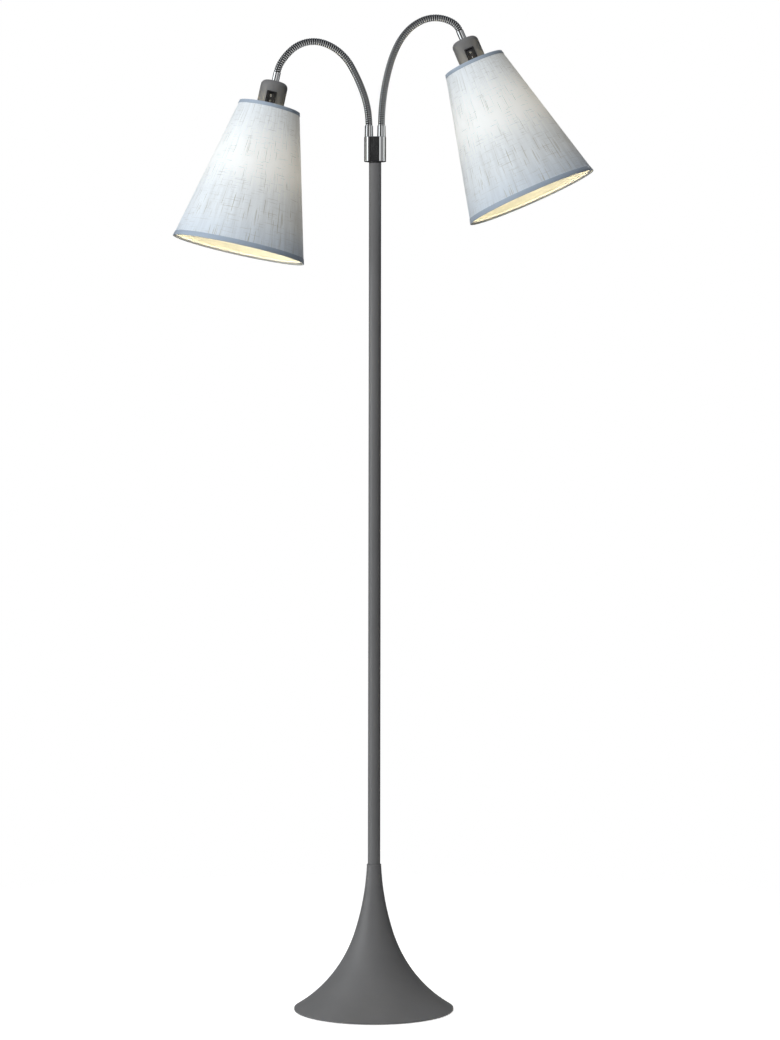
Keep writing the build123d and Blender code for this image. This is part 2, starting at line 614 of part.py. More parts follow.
def pivot():
    """The rocker's pivot: its distance out from the lamp's axis, and its place along it."""
    return (SWITCH_FACE + ROCKER_PROUD - ROCKER_RISE, SWITCH_CENTRE)


def rocker_corner():
    """A top corner of the rocker, out from and along from its pivot."""
    half = ROCKER_HEIGHT / 2
    return (ROCKER_RISE + half * math.tan(math.radians(ROCKER_TILT)), half)


def cross_pin(radius, half_length):
    pivot_x, pivot_z = pivot()
    return Pos(pivot_x, 0, pivot_z) * Cylinder(radius, 2 * half_length, rotation=(90, 0, 0))


def switch_body():
    """The snap-in housing: a saddle bezel on the cap and a barrel behind it with the rocker's pocket."""
    half_width, half_height = SWITCH_WIDTH / 2, SWITCH_HEIGHT / 2
    bezel = block((CAP_BORE_RADIUS - CAP_WALL, SWITCH_FACE), (-half_width, half_width),
                  (SWITCH_CENTRE - half_height, SWITCH_CENTRE + half_height))
    bezel = fillet(bezel.edges().filter_by(Axis.X), SWITCH_CORNER_RADIUS)
    bezel -= rod(CAP_RADIUS + THREAD_CLEARANCE, CAP_TOP, CAP_BOTTOM)
    body = bezel + switch_window(0)
    out, along = rocker_corner()
    reach = math.hypot(out, along)
    pocket_height = reach * math.cos(math.atan2(out, along) - math.radians(ROCKER_TILT)) + HINGE_CLEARANCE
    pocket_width = ROCKER_WIDTH / 2 + HINGE_CLEARANCE
    pivot_x, pivot_z = pivot()
    body -= block((pivot_x - ROCKER_KEEL - 2 * out, SWITCH_FACE + SWITCH_STAND),
                  (-pocket_width, pocket_width),
                  (pivot_z - pocket_height, pivot_z + pocket_height))
    return body - cross_pin(ROCKER_PIN_RADIUS + PIN_CLEARANCE, half_width)


def switch_rocker():
    """The rocker with its shallow V face, tipped to ON: the end near the shade is pressed in."""
    out, along = rocker_corner()
    pivot_x, pivot_z = pivot()
    outline = Polyline((out, 0, -along), (ROCKER_RISE, 0, 0), (out, 0, along), (0, 0, along),
                       (-ROCKER_KEEL, 0, 0), (0, 0, -along), close=True)
    body = extrude(make_face(outline), ROCKER_WIDTH / 2, both=True)
    placed = Pos(pivot_x, 0, pivot_z) * Rot(0, -ROCKER_TILT, 0) * body
    return placed + cross_pin(ROCKER_PIN_RADIUS, ROCKER_WIDTH / 2 + ROCKER_PIN_LENGTH)


def lampholder():
    """The moulded insulator: it screws into the cap, and its skirt takes the shade ring."""
    body = rod(CAP_BORE_RADIUS - THREAD_CLEARANCE, HOLDER_TOP, CAP_BOTTOM)
    body += rod(HOLDER_FLANGE_RADIUS, CAP_BOTTOM, FLANGE_BOTTOM)
    body += rod(HOLDER_SKIRT_RADIUS, FLANGE_BOTTOM, HOLDER_MOUTH)
    return body - rod(CONTACT_RADIUS + THREAD_CLEARANCE, SOCKET_FLOOR, HOLDER_MOUTH)


def contact_shell():
    """The threaded sleeve that grips the bulb, and the tongue that meets its tip."""
    width, length, thickness = CONTACT_TONGUE
    sleeve_start = SOCKET_FLOOR + thickness + SLIDE_CLEARANCE
    sleeve = tube(CONTACT_RADIUS, CONTACT_RADIUS - CONTACT_WALL, sleeve_start, sleeve_start + CONTACT_LENGTH)
    tongue = block((-width / 2, width / 2), (-length / 2, length / 2),
                   (SOCKET_FLOOR, SOCKET_FLOOR + thickness))
    return Compound(children=[sleeve, tongue])


def bulb_base():
    tip_top = BULB_TIP + BULB_TIP_HEIGHT
    inner = BULB_BASE_RADIUS - CAP_SHELL_WALL
    return turned([(0, BULB_TIP), (BULB_TIP_RADIUS, BULB_TIP), (BULB_BASE_RADIUS, tip_top),
                   (BULB_BASE_RADIUS, BULB_GLASS_START), (inner, BULB_GLASS_START),
                   (inner, tip_top + CAP_SHELL_WALL), (0, tip_top)])


def bulb_outside(inset):
    """The bulb's solid, or its hollow where inset is the glass's thickness: a neck and a ball."""
    ball_radius = BULB_RADIUS - inset
    neck_radius = BULB_BASE_RADIUS - inset
    centre = BULB_TIP + BULB_LENGTH - BULB_RADIUS
    rise = centre - BULB_GLASS_START
    away = math.hypot(rise, neck_radius)
    lean = math.asin(ball_radius / away) - math.atan2(neck_radius, rise)
    touch_radius = ball_radius * math.cos(lean)
    touch_z = centre - ball_radius * math.sin(lean)
    neck = turned([(0, BULB_GLASS_START), (neck_radius, BULB_GLASS_START), (touch_radius, touch_z),
                   (0, touch_z)])
    return neck + Pos(0, 0, centre) * Sphere(ball_radius)


def bulb_globe():
    return bulb_outside(0) - bulb_outside(BULB_WALL)


def shade_ring():
    """The threaded ring that clamps the shade's carrier up against the lampholder."""
    ring = rod(SHADE_RING_RADIUS, CARRIER_BOTTOM, CARRIER_BOTTOM + SHADE_RING_HEIGHT)
    ring = chamfer(ring.edges().group_by(Axis.Z)[-1], CARRIER_THICKNESS)
    bore = rod(HOLDER_SKIRT_RADIUS + THREAD_CLEARANCE, CARRIER_BOTTOM, CARRIER_BOTTOM + SHADE_RING_HEIGHT)
    return ring - bore


def shade_outside(place):
    return SHADE_TOP_RADIUS + SHADE_SLOPE * (place - SHADE_TOP)


def shade_inside(place):
    return shade_outside(place) - SHADE_WALL * SHADE_SECANT


def rim_wire(place):
    """A wire hoop that lies against the inside of the shade."""
    hoop_radius = shade_inside(place) - (WIRE_RADIUS + THREAD_CLEARANCE) * SHADE_SECANT
    return Pos(0, 0, place) * Torus(hoop_radius, WIRE_RADIUS), hoop_radius


def shade_frame():
    """The carrier with its three arms and top hoop, and the loose hoop at the shade's mouth."""
    top_hoop, hoop_radius = rim_wire(SHADE_TOP + WIRE_INSET)
    carrier = tube(CARRIER_RADIUS, HOLDER_SKIRT_RADIUS + SLIDE_CLEARANCE, FLANGE_BOTTOM, CARRIER_BOTTOM)
    root_radius = CARRIER_RADIUS - WIRE_RADIUS
    root_z = (FLANGE_BOTTOM + CARRIER_BOTTOM) / 2
    run = hoop_radius - root_radius
    rise = root_z - SHADE_TOP - WIRE_INSET
    arm = Cylinder(WIRE_RADIUS, math.hypot(run, rise), align=(Align.CENTER, Align.CENTER, Align.MIN))
    arm = Pos(root_radius, 0, root_z) * Rot(0, 180 - math.degrees(math.atan2(run, rise)), 0) * arm
    half_turn = 180 / CARRIER_ARMS
    arms = [Rot(0, 0, half_turn * (2 * number + 1)) * arm for number in range(CARRIER_ARMS)]
    spider = carrier + top_hoop + arms
    mouth_hoop, _ = rim_wire(SHADE_BOTTOM - WIRE_INSET)
    return Compound(children=[spider, mouth_hoop])


def shade_cone():
    return turned([(shade_inside(SHADE_TOP), SHADE_TOP), (shade_outside(SHADE_TOP), SHADE_TOP),
                   (shade_outside(SHADE_BOTTOM), SHADE_BOTTOM), (shade_inside(SHADE_BOTTOM), SHADE_BOTTOM)])


def rim_trim(rim, height, outward):
    """A tape folded over one rim of the shade: a band outside and a narrow strip across the edge."""
    edge = rim + outward * TRIM_THICKNESS
    band_end = rim - outward * height
    cover = TRIM_THICKNESS * SHADE_SECANT
    return turned([(shade_inside(rim), rim), (shade_outside(rim), rim), (shade_outside(band_end), band_end),
                   (shade_outside(band_end) + cover, band_end), (shade_outside(edge) + cover, edge),
                   (shade_inside(rim), edge)])


def shade_trims():
    top = rim_trim(SHADE_TOP, TOP_TRIM_HEIGHT, -1)
    bottom = rim_trim(SHADE_BOTTOM, BOTTOM_TRIM_HEIGHT, 1)
    return Compound(children=[top, bottom])


# ---- the whole lamp ---------------------------------------------------------------------------------
def stand_pieces():
    makers = (base_shell, ballast_weight, base_cover_plate, base_felt_pad, cable_grommet, cover_screws,
              terminal_block, pole_tube, pole_foot_plug, base_nipple, clamp_nuts, pole_head_plug,
              pole_top_ring, pole_leads, arm_block, block_base_plate, block_grub_screws, neck_ferrules)
    return {maker.__name__: maker() for maker in makers}


def arm_pieces(name, head_pieces):
    side, turns, opening, closing = ARMS[name]
    pieces = {}
    for number in range(1, len(NECK_RIBS) + 1):
        pieces[f"{name}_neck_{number}"] = neck_segment(side, turns, opening, closing, number)
    pieces[f"{name}_lead"] = lead(side, turns)
    x, z, lean = neck_joints(side, turns)[-1]
    axis = (side * math.sin(lean), 0, math.cos(lean))
    place = Plane(origin=(x, 0, z), x_dir=(0, -1, 0), z_dir=axis)
    pieces[f"{name}_end_ferrule"] = place * end_ferrule(opening, closing)
    for piece, shape in head_pieces.items():
        pieces[f"{name}_{piece}"] = place * shape
    return pieces


def main():
    head_makers = (holder_cap, switch_body, switch_rocker, lampholder, contact_shell, bulb_base, bulb_globe,
                   shade_ring, shade_frame, shade_cone, shade_trims)
    head_pieces = {maker.__name__: maker() for maker in head_makers}
    pieces = stand_pieces()
    for name in ARMS:
        pieces.update(arm_pieces(name, head_pieces))
    os.makedirs("parts", exist_ok=True)
    for node, shape in pieces.items():
        export_step(shape, f"parts/{node}.step")
    print(len(pieces), "nodes written")


main()
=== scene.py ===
"""Looks for the twin-arm reading floor lamp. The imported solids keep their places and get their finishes.
The wound goosenecks, the leads in them, the shades, the rockers, the bulbs and the small fittings are
modelled here in place of their plain solids. Metres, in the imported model's own frame."""

import functools
import math

import bmesh
import bpy
from bpy.props import FloatProperty, FloatVectorProperty, PointerProperty
from mathutils import Matrix, Vector, noise


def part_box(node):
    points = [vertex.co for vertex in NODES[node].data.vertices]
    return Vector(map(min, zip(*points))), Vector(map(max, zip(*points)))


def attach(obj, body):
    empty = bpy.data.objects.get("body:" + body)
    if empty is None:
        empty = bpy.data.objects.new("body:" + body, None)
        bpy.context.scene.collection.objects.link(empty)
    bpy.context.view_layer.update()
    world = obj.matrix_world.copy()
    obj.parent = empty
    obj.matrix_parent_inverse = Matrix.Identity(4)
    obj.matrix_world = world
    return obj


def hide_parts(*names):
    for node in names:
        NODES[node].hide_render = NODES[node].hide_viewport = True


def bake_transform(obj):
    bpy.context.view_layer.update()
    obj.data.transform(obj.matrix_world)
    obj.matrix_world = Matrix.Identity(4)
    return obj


bl_info = {
    "name": "Reading floor lamp looks",
    "version": (1, 0, 0),
    "blender": (4, 5, 0),
    "location": "3D View > Sidebar > Lamp",
    "description": "Finishes, goosenecks, shades and studio for a twin-arm reading floor lamp",
    "category": "Object",
}

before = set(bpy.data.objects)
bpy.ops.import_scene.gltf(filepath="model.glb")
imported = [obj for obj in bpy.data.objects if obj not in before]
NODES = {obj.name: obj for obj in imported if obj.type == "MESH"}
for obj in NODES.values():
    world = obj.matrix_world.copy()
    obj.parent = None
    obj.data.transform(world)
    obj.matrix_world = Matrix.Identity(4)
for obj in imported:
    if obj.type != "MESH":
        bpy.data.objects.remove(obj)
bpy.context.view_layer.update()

# ---- arms ----
# How many ribs each stretch has and how far it turns, in degrees, as in the solids. The turns aren't
# chosen by hand: they are a least-squares fit to the necks' centrelines as measured in the photo.
NECK_PITCH = 0.00288
NECK_RIBS = (17, 16, 11, 8, 9, 9, 8, 6)
ARMS = {
    "left": (-1, (19.1, 10.5, 23.4, 18.6, 30.5, 29.6, 15.4, 20.7)),
    "right": (1, (8.2, 8.3, 10.8, 15.1, 21.3, 29.3, 26.2, 37.3)),
}
NECK_SPACING = 0.0189
NECK_FOOT_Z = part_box("neck_ferrules")[1].z
NECK_TAIL = 0.008
NECK_CREST = 0.00525
NECK_VALLEY = 0.0045
NECK_BORE = 0.0041
FERRULE_GAP = 0.0006
LEAD_RADIUS = 0.0016
LEAD_SPACING = 0.0036
LEAD_BEND_BOTTOM = 1.287
LEAD_BEND_TOP = 1.306

# ---- lamp heads, along their own axis from the end of the neck ----
HOLDER_TOP = 0.057
HOLDER_BORE_RADIUS = 0.0189
CAP_BOTTOM = 0.073
FLANGE_BOTTOM = 0.075
FLANGE_RADIUS = 0.023
SKIRT_RADIUS = 0.0195
SKIRT_END = 0.105
SOCKET_FLOOR = 0.078
SOCKET_RADIUS = 0.01405
RING_TOP = 0.0762
RING_BOTTOM = 0.0842
RING_RADIUS = 0.028
PIVOT_OUT = 0.0188
PIVOT_ALONG = 0.043
ROCKER_TILT = math.radians(10)
BULB_NECK_START = 0.1036
BULB_NECK_RADIUS = 0.0134
BULB_CENTRE = 0.1566
BULB_RADIUS = 0.03
GLASS_WALL = 0.001

# ---- shades ----
SHADE_TOP = 0.054
SHADE_BOTTOM = 0.274
SHADE_TOP_RADIUS = 0.046
SHADE_BOTTOM_RADIUS = 0.1004
SHADE_WALL = 0.0008
SHADE_SLOPE = (SHADE_BOTTOM_RADIUS - SHADE_TOP_RADIUS) / (SHADE_BOTTOM - SHADE_TOP)
SHADE_SECANT = math.hypot(1, SHADE_SLOPE)
SHADE_SLANT = (SHADE_BOTTOM - SHADE_TOP) * SHADE_SECANT
SHADE_MEAN_RADIUS = (SHADE_TOP_RADIUS + SHADE_BOTTOM_RADIUS) / 2
WEAVE_MAP = "weave"
RISE_MAP = "wire_rise"


# ---- what a user can change ----
class LampSizes(bpy.types.PropertyGroup):
    """Sizes of the pieces that are modelled here."""
    cloth_thickness: FloatProperty(name="Cloth", description="Thickness of the shade's linen",
                                   default=0.00035, min=0.0001, max=0.0005, subtype="DISTANCE")
    lining_thickness: FloatProperty(name="Lining", description="Thickness of the shade's inner skin",
                                    default=0.0004, min=0.0001, max=0.0004, subtype="DISTANCE")
    tape_thickness: FloatProperty(name="Tape", description="Thickness of the tape round a shade's rims",
                                  default=0.0005, min=0.0002, max=0.001, subtype="DISTANCE")
    top_tape: FloatProperty(name="Top tape", description="Height of the tape on the upper rim",
                            default=0.005, min=0.002, max=0.012, subtype="DISTANCE")
    bottom_tape: FloatProperty(name="Bottom tape", description="Height of the tape on the lower rim",
                               default=0.007, min=0.002, max=0.012, subtype="DISTANCE")
    rocker_width: FloatProperty(name="Rocker width", description="Width of the switch's rocker",
                                default=0.0102, min=0.006, max=0.0104, subtype="DISTANCE")
    mark_height: FloatProperty(name="Mark height", description="Height of the switch's two marks",
                               default=0.003, min=0.001, max=0.005, subtype="DISTANCE")


class LampColours(bpy.types.PropertyGroup):
    """Colours of the finishes."""
    paint: FloatVectorProperty(name="Paint", description="Powder coat on stand and caps", subtype="COLOR",
                               default=(0.172, 0.173, 0.178), min=0, max=1)
    linen: FloatVectorProperty(name="Linen", description="Outside of the shades", subtype="COLOR",
                               default=(0.68, 0.76, 0.85), min=0, max=1)
    lining: FloatVectorProperty(name="Lining", description="Inside of the shades", subtype="COLOR",
                                default=(0.93, 0.91, 0.80), min=0, max=1)
    tape: FloatVectorProperty(name="Tape", description="Tape round the rims", subtype="COLOR",
                              default=(0.39, 0.47, 0.58), min=0, max=1)
    glow: FloatVectorProperty(name="Glow", description="Lamplight through the linen", subtype="COLOR",
                              default=(1.0, 0.90, 0.70), min=0, max=1)
    plating: FloatVectorProperty(name="Plating", description="Chrome", subtype="COLOR",
                                 default=(0.72, 0.73, 0.74), min=0, max=1)


class LampLight(bpy.types.PropertyGroup):
    """Strengths of the studio's lights and of the lamp's own."""
    key: FloatProperty(name="Key", description="Soft light high at the front left", subtype="POWER",
                       default=64.0, min=0, max=500)
    side: FloatProperty(name="Side", description="Tall soft light at the left", subtype="POWER",
                        default=26.0, min=0, max=500)
    back: FloatProperty(name="Back", description="Soft light behind the lamp", subtype="POWER",
                        default=42.0, min=0, max=500)
    bulb: FloatProperty(name="Bulb", description="Brightness of the bulbs", default=9.0, min=0, max=20)
    glow: FloatProperty(name="Glow", description="Brightness of the linen over a bulb", default=0.36,
                        min=0, max=2)


# ---- node trees ----
class Tree:
    """Adds nodes to one node tree, each to the right of the last, and feeds their sockets."""

    def __init__(self, tree):
        self.tree = tree
        self.tree.nodes.clear()

    def add(self, kind, inputs=None, **settings):
        node = self.tree.nodes.new(kind)
        node.location = (180 * len(self.tree.nodes), 0)
        for name, value in settings.items():
            setattr(node, name, value)
        for socket, value in (inputs or {}).items():
            self.feed(node.inputs[socket], value)
        return node

    def feed(self, socket, value):
        if isinstance(value, bpy.types.NodeSocket):
            self.tree.links.new(value, socket)
        else:
            socket.default_value = value

    def math(self, operation, first, second=0.0, clamp=False):
        node = self.add("ShaderNodeMath", {0: first, 1: second}, operation=operation, use_clamp=clamp)
        return node.outputs[0]

    def spread(self, value, low, high, to_low=0.0, to_high=1.0):
        node = self.add("ShaderNodeMapRange", {"Value": value, "From Min": low, "From Max": high,
                                               "To Min": to_low, "To Max": to_high})
        return node.outputs["Result"]

    def mix(self, share, first, second):
        node = self.add("ShaderNodeMix", data_type="RGBA")
        for socket, value in ((0, share), (6, first), (7, second)):
            self.feed(node.inputs[socket], value)
        return node.outputs[2]

    def noise(self, vector, scale, detail=2.0, roughness=0.5):
        node = self.add("ShaderNodeTexNoise", {"Vector": vector, "Scale": scale, "Detail": detail,
                                               "Roughness": roughness})
        return node.outputs["Fac"]

    def stretched(self, vector, scale, turn=(0, 0, 0)):
        node = self.add("ShaderNodeMapping", {"Vector": vector, "Scale": scale, "Rotation": turn})
        return node.outputs["Vector"]

    def object_place(self):
        return self.add("ShaderNodeTexCoord").outputs["Object"]

    def weave_place(self):
        return self.add("ShaderNodeUVMap", uv_map=WEAVE_MAP).outputs["UV"]

    def ramp(self, value, stops, ease="LINEAR"):
        node = self.add("ShaderNodeValToRGB", {"Fac": value})
        node.color_ramp.interpolation = ease
        marks = node.color_ramp.elements
        for place, colour in stops[2:]:
            marks.new(place).color = (*colour, 1)
        for mark, (place, colour) in zip((marks[0], marks[len(marks) - 1]), (stops[0], stops[1])):
            mark.position = place
            mark.color = (*colour, 1)
        return node.outputs["Color"]

    def bump(self, height, strength, distance):
        inputs = {"Height": height, "Strength": strength, "Distance": distance}
        return self.add("ShaderNodeBump", inputs).outputs["Normal"]

    def use(self, tree, **inputs):
        """Places a shared group, with its inputs by name, an underscore for each space."""
        node = self.add("ShaderNodeGroup", node_tree=tree)
        for name, value in inputs.items():
            self.feed(node.inputs[name.replace("_", " ").capitalize()], value)
        return node.outputs


def shared_group(name, inputs, outputs):
    """A new node group with float inputs and their usual values, and float outputs."""
    tree = bpy.data.node_groups.new(name, "ShaderNodeTree")
    graph = Tree(tree)
    for socket, value in inputs.items():
        made = tree.interface.new_socket(name=socket, in_out="INPUT", socket_type="NodeSocketFloat")
        made.default_value = value
    for socket in outputs:
        tree.interface.new_socket(name=socket, in_out="OUTPUT", socket_type="NodeSocketFloat")
    entry = graph.add("NodeGroupInput")
    leave = graph.add("NodeGroupOutput")
    return tree, graph, entry.outputs, leave.inputs


@functools.lru_cache(None)
def orange_peel():
    """The slight waviness and fine grain of a sprayed or moulded skin, with slow drifts in tone."""
    tree, graph, given, made = shared_group("Skin grain", {"Grain scale": 900.0, "Drift scale": 9.0},
                                            ("Height", "Tone", "Speck"))
    place = graph.object_place()
    coarse = graph.noise(place, given["Grain scale"], 2.0, 0.45)
    fine_scale = graph.math("MULTIPLY", given["Grain scale"], 4.3)
    fine = graph.noise(place, fine_scale, 1.0)
    height = graph.math("ADD", coarse, graph.math("MULTIPLY", fine, 0.3))
    graph.feed(made["Height"], height)
    graph.feed(made["Tone"], graph.noise(place, given["Drift scale"], 3.0, 0.55))
    graph.feed(made["Speck"], graph.spread(fine, 0.62, 0.72))
    return tree


@functools.lru_cache(None)
def handling_marks():
    """Faint smears and hairlines that dull a polished or glossy skin here and there."""
    tree, graph, given, made = shared_group("Handling marks",
                                            {"Smear scale": 60.0, "Hairline scale": 500.0},
                                            ("Smear", "Hairline"))
    place = graph.object_place()
    smear = graph.noise(place, given["Smear scale"], 4.0, 0.6)
    graph.feed(made["Smear"], graph.spread(smear, 0.42, 0.75))
    fine = graph.stretched(place, (1.0, 1.0, 0.06), (0.2, 0.1, 0.0))
    line = graph.noise(fine, given["Hairline scale"], 1.0)
    graph.feed(made["Hairline"], graph.spread(line, 0.66, 0.74))
    return tree


@functools.lru_cache(None)
def settled_dust():
    """A thin veil on the faces that look up, broken into patches."""
    tree, graph, given, made = shared_group("Settled dust", {"Patch scale": 30.0}, ("Veil",))
    up = graph.add("ShaderNodeSeparateXYZ", {0: graph.add("ShaderNodeNewGeometry").outputs["Normal"]})
    level = graph.spread(up.outputs["Z"], 0.25, 0.95)
    patch = graph.noise(graph.object_place(), given["Patch scale"], 5.0, 0.65)
    graph.feed(made["Veil"], graph.math("MULTIPLY", level, graph.spread(patch, 0.35, 0.8)))
    return tree


@functools.lru_cache(None)
def woven_yarns():
    """Plain weave on the cloth's own map, in metres: yarns both ways, thick slubs along and short ones
    across."""
    tree, graph, given, made = shared_group("Woven yarns", {"Yarns per metre": 1500.0, "Slub density": 0.5},
                                            ("Height", "Slub", "Cross slub", "Tone"))
    place = graph.weave_place()
    wander = graph.noise(graph.stretched(place, (60, 12, 1)), 1.0, 3.0)
    parts = graph.add("ShaderNodeSeparateXYZ", {0: place})
    shift = graph.math("MULTIPLY", wander, 0.002)
    yarns = []
    for axis in ("X", "Y"):
        shifted = graph.math("ADD", parts.outputs[axis], shift)
        along = graph.math("MULTIPLY", shifted, given["Yarns per metre"])
        yarns.append(graph.math("SINE", graph.math("MULTIPLY", along, math.tau)))
    weave = graph.math("MULTIPLY", yarns[0], yarns[1])
    threshold = graph.math("SUBTRACT", 0.86, graph.math("MULTIPLY", given["Slub density"], 0.4))
    masks = []
    for scale, width in (((620, 20, 1), 0.06), ((34, 760, 1), 0.06)):
        streak = graph.noise(graph.stretched(place, scale), 1.0, 2.0, 0.6)
        upper = graph.math("ADD", threshold, width)
        masks.append(graph.spread(streak, threshold, upper))
    crossing = graph.math("MULTIPLY", masks[1], 0.7)
    thick = graph.math("MAXIMUM", masks[0], crossing)
    body = graph.math("MULTIPLY", weave, 0.3)
    graph.feed(made["Height"], graph.math("ADD", body, thick))
    graph.feed(made["Slub"], masks[0])
    graph.feed(made["Cross slub"], masks[1])
    graph.feed(made["Tone"], graph.noise(graph.stretched(place, (150, 9, 1)), 1.0, 3.0, 0.6))
    return tree


def new_material(name, **sockets):
    """A material with one Principled surface; its plain values go on the shader's own sockets."""
    material = bpy.data.materials.new(name)
    material.use_nodes = True
    graph = Tree(material.node_tree)
    skin = graph.add("ShaderNodeBsdfPrincipled")
    for socket, value in sockets.items():
        graph.feed(skin.inputs[socket.replace("_", " ")], value)
    out = graph.add("ShaderNodeOutputMaterial")
    graph.feed(out.inputs["Surface"], skin.outputs[0])
    return material, graph, skin.inputs


def shade_of(colour, share):
    return tuple(part * share for part in colour[:3]) + (1.0,)


def colours():
    return bpy.context.scene.lamp_colours


def sizes():
    return bpy.context.scene.lamp_sizes


def light():
    return bpy.context.scene.lamp_light


# ---- finishes ----
def sprayed(name, colour, grain, rough, dusty=0.0):
    """Powder coat or moulded plastic: orange peel, tone that drifts and, on a stand, a little dust."""
    material, graph, skin = new_material(name)
    peel = graph.use(orange_peel(), grain_scale=grain)
    tone = graph.spread(peel["Tone"], 0.3, 0.7)
    base = graph.mix(tone, shade_of(colour, 0.93), shade_of(colour, 1.06))
    base = graph.mix(graph.math("MULTIPLY", peel["Speck"], 0.25), base, shade_of(colour, 1.5))
    dull = graph.spread(peel["Tone"], 0.3, 0.7, rough - 0.04, rough + 0.05)
    if dusty:
        veil = graph.math("MULTIPLY", graph.use(settled_dust())["Veil"], dusty)
        base = graph.mix(veil, base, (0.42, 0.41, 0.39, 1))
        dull = graph.math("ADD", dull, graph.math("MULTIPLY", veil, 0.5), clamp=True)
    graph.feed(skin["Base Color"], base)
    graph.feed(skin["Roughness"], dull)
    graph.feed(skin["Normal"], graph.bump(peel["Height"], 0.25, 0.0002))
    return material


def metal(name, colour, rough, hairlines, smear=0.12, paint_groove_shade=False):
    """Bare or plated metal: smears and hairlines over a faint ripple. On a wound hose, painted shade darkens
    the grooves between the wire's turns.
    """
    material, graph, skin = new_material(name, Metallic=1.0)
    marks = graph.use(handling_marks())
    peel = graph.use(orange_peel(), grain_scale=1400.0)
    base = graph.mix(graph.spread(peel["Tone"], 0.3, 0.7), shade_of(colour, 0.94), shade_of(colour, 1.04))
    if paint_groove_shade:
        rise = graph.add("ShaderNodeAttribute", attribute_name=RISE_MAP).outputs["Fac"]
        # painted shade: the grooves of the wound wire are darkened almost to black, and only its crests keep
        # the plating's colour
        base = graph.mix(graph.spread(rise, 0.72, 0.97), shade_of(colour, 0.03), base)
    dull = graph.math("MULTIPLY", marks["Smear"], smear)
    dull = graph.math("ADD", dull, graph.math("MULTIPLY", marks["Hairline"], hairlines))
    graph.feed(skin["Base Color"], base)
    graph.feed(skin["Roughness"], graph.math("ADD", dull, rough, clamp=True))
    graph.feed(skin["Normal"], graph.bump(peel["Height"], 0.04, 0.0001))
    return material


def cast_iron():
    material, graph, skin = new_material("Cast weight", Metallic=0.6)
    peel = graph.use(orange_peel(), grain_scale=420.0, drift_scale=40.0)
    base = graph.mix(peel["Tone"], (0.05, 0.05, 0.053, 1), (0.14, 0.135, 0.13, 1))
    graph.feed(skin["Base Color"], base)
    graph.feed(skin["Roughness"], graph.spread(peel["Height"], 0.4, 0.9, 0.55, 0.85))
    graph.feed(skin["Normal"], graph.bump(peel["Height"], 0.6, 0.0008))
    return material


def pressed_felt():
    """Matted fibres: tangled noise at two sizes, with a soft sheen."""
    material, graph, skin = new_material("Felt", Roughness=0.95, Sheen_Weight=0.5, Sheen_Roughness=0.6)
    place = graph.object_place()
    fibre = graph.noise(graph.stretched(place, (1.0, 0.3, 1.0), (0, 0, 0.6)), 2600.0, 4.0, 0.75)
    tuft = graph.noise(place, 420.0, 3.0, 0.6)
    mixed = graph.math("ADD", graph.math("MULTIPLY", fibre, 0.6), graph.math("MULTIPLY", tuft, 0.4))
    graph.feed(skin["Base Color"], graph.mix(mixed, (0.012, 0.012, 0.013, 1), (0.06, 0.06, 0.063, 1)))
    graph.feed(skin["Normal"], graph.bump(mixed, 0.9, 0.0006))
    return material


def linen():
    """The shade's linen over a lit bulb: cool daylight white with slubs, and the lamplight that comes
    through it, strongest level with the bulb and held back by the thick yarns."""
    tint = colours()
    material, graph, skin = new_material("Shade linen", Roughness=0.82, Sheen_Weight=0.25,
                                         Sheen_Roughness=0.5, Emission_Strength=1.0)
    cloth = graph.use(woven_yarns(), slub_density=0.63)
    tone = graph.spread(cloth["Tone"], 0.3, 0.7)
    base = graph.mix(tone, shade_of(tint.linen, 0.90), shade_of(tint.linen, 1.08))
    base = graph.mix(graph.math("MULTIPLY", cloth["Slub"], 0.5), base, (0.38, 0.37, 0.28, 1))
    base = graph.mix(graph.math("MULTIPLY", cloth["Cross slub"], 0.35), base, (0.42, 0.41, 0.34, 1))
    graph.feed(skin["Base Color"], base)
    down = graph.add("ShaderNodeSeparateXYZ", {0: graph.weave_place()}).outputs["Y"]
    low = shade_of(tint.linen, 0.05)[:3]
    full = tuple(part * light().glow for part in tint.glow)
    half = tuple(part * light().glow * 0.45 for part in tint.glow)
    lit = graph.ramp(graph.math("DIVIDE", down, SHADE_SLANT),
                     ((0.0, half), (1.0, low), (0.40, full), (0.72, half)), "EASE")
    held = graph.math("MULTIPLY", graph.math("MAXIMUM", cloth["Slub"], cloth["Cross slub"]), 0.55)
    graph.feed(skin["Emission Color"], graph.mix(held, lit, (0, 0, 0, 1)))
    graph.feed(skin["Normal"], graph.bump(cloth["Height"], 0.7, 0.0004))
    return material


def lining():
    """The warm white skin inside a shade, with the weave only just showing."""
    tint = colours()
    material, graph, skin = new_material("Shade lining", Roughness=0.6)
    cloth = graph.use(woven_yarns(), slub_density=0.45)
    base = graph.mix(cloth["Tone"], shade_of(tint.lining, 0.95), shade_of(tint.lining, 1.04))
    base = graph.mix(graph.math("MULTIPLY", cloth["Slub"], 0.2), base, (0.62, 0.58, 0.42, 1))
    graph.feed(skin["Base Color"], base)
    graph.feed(skin["Normal"], graph.bump(cloth["Height"], 0.15, 0.0002))
    return material


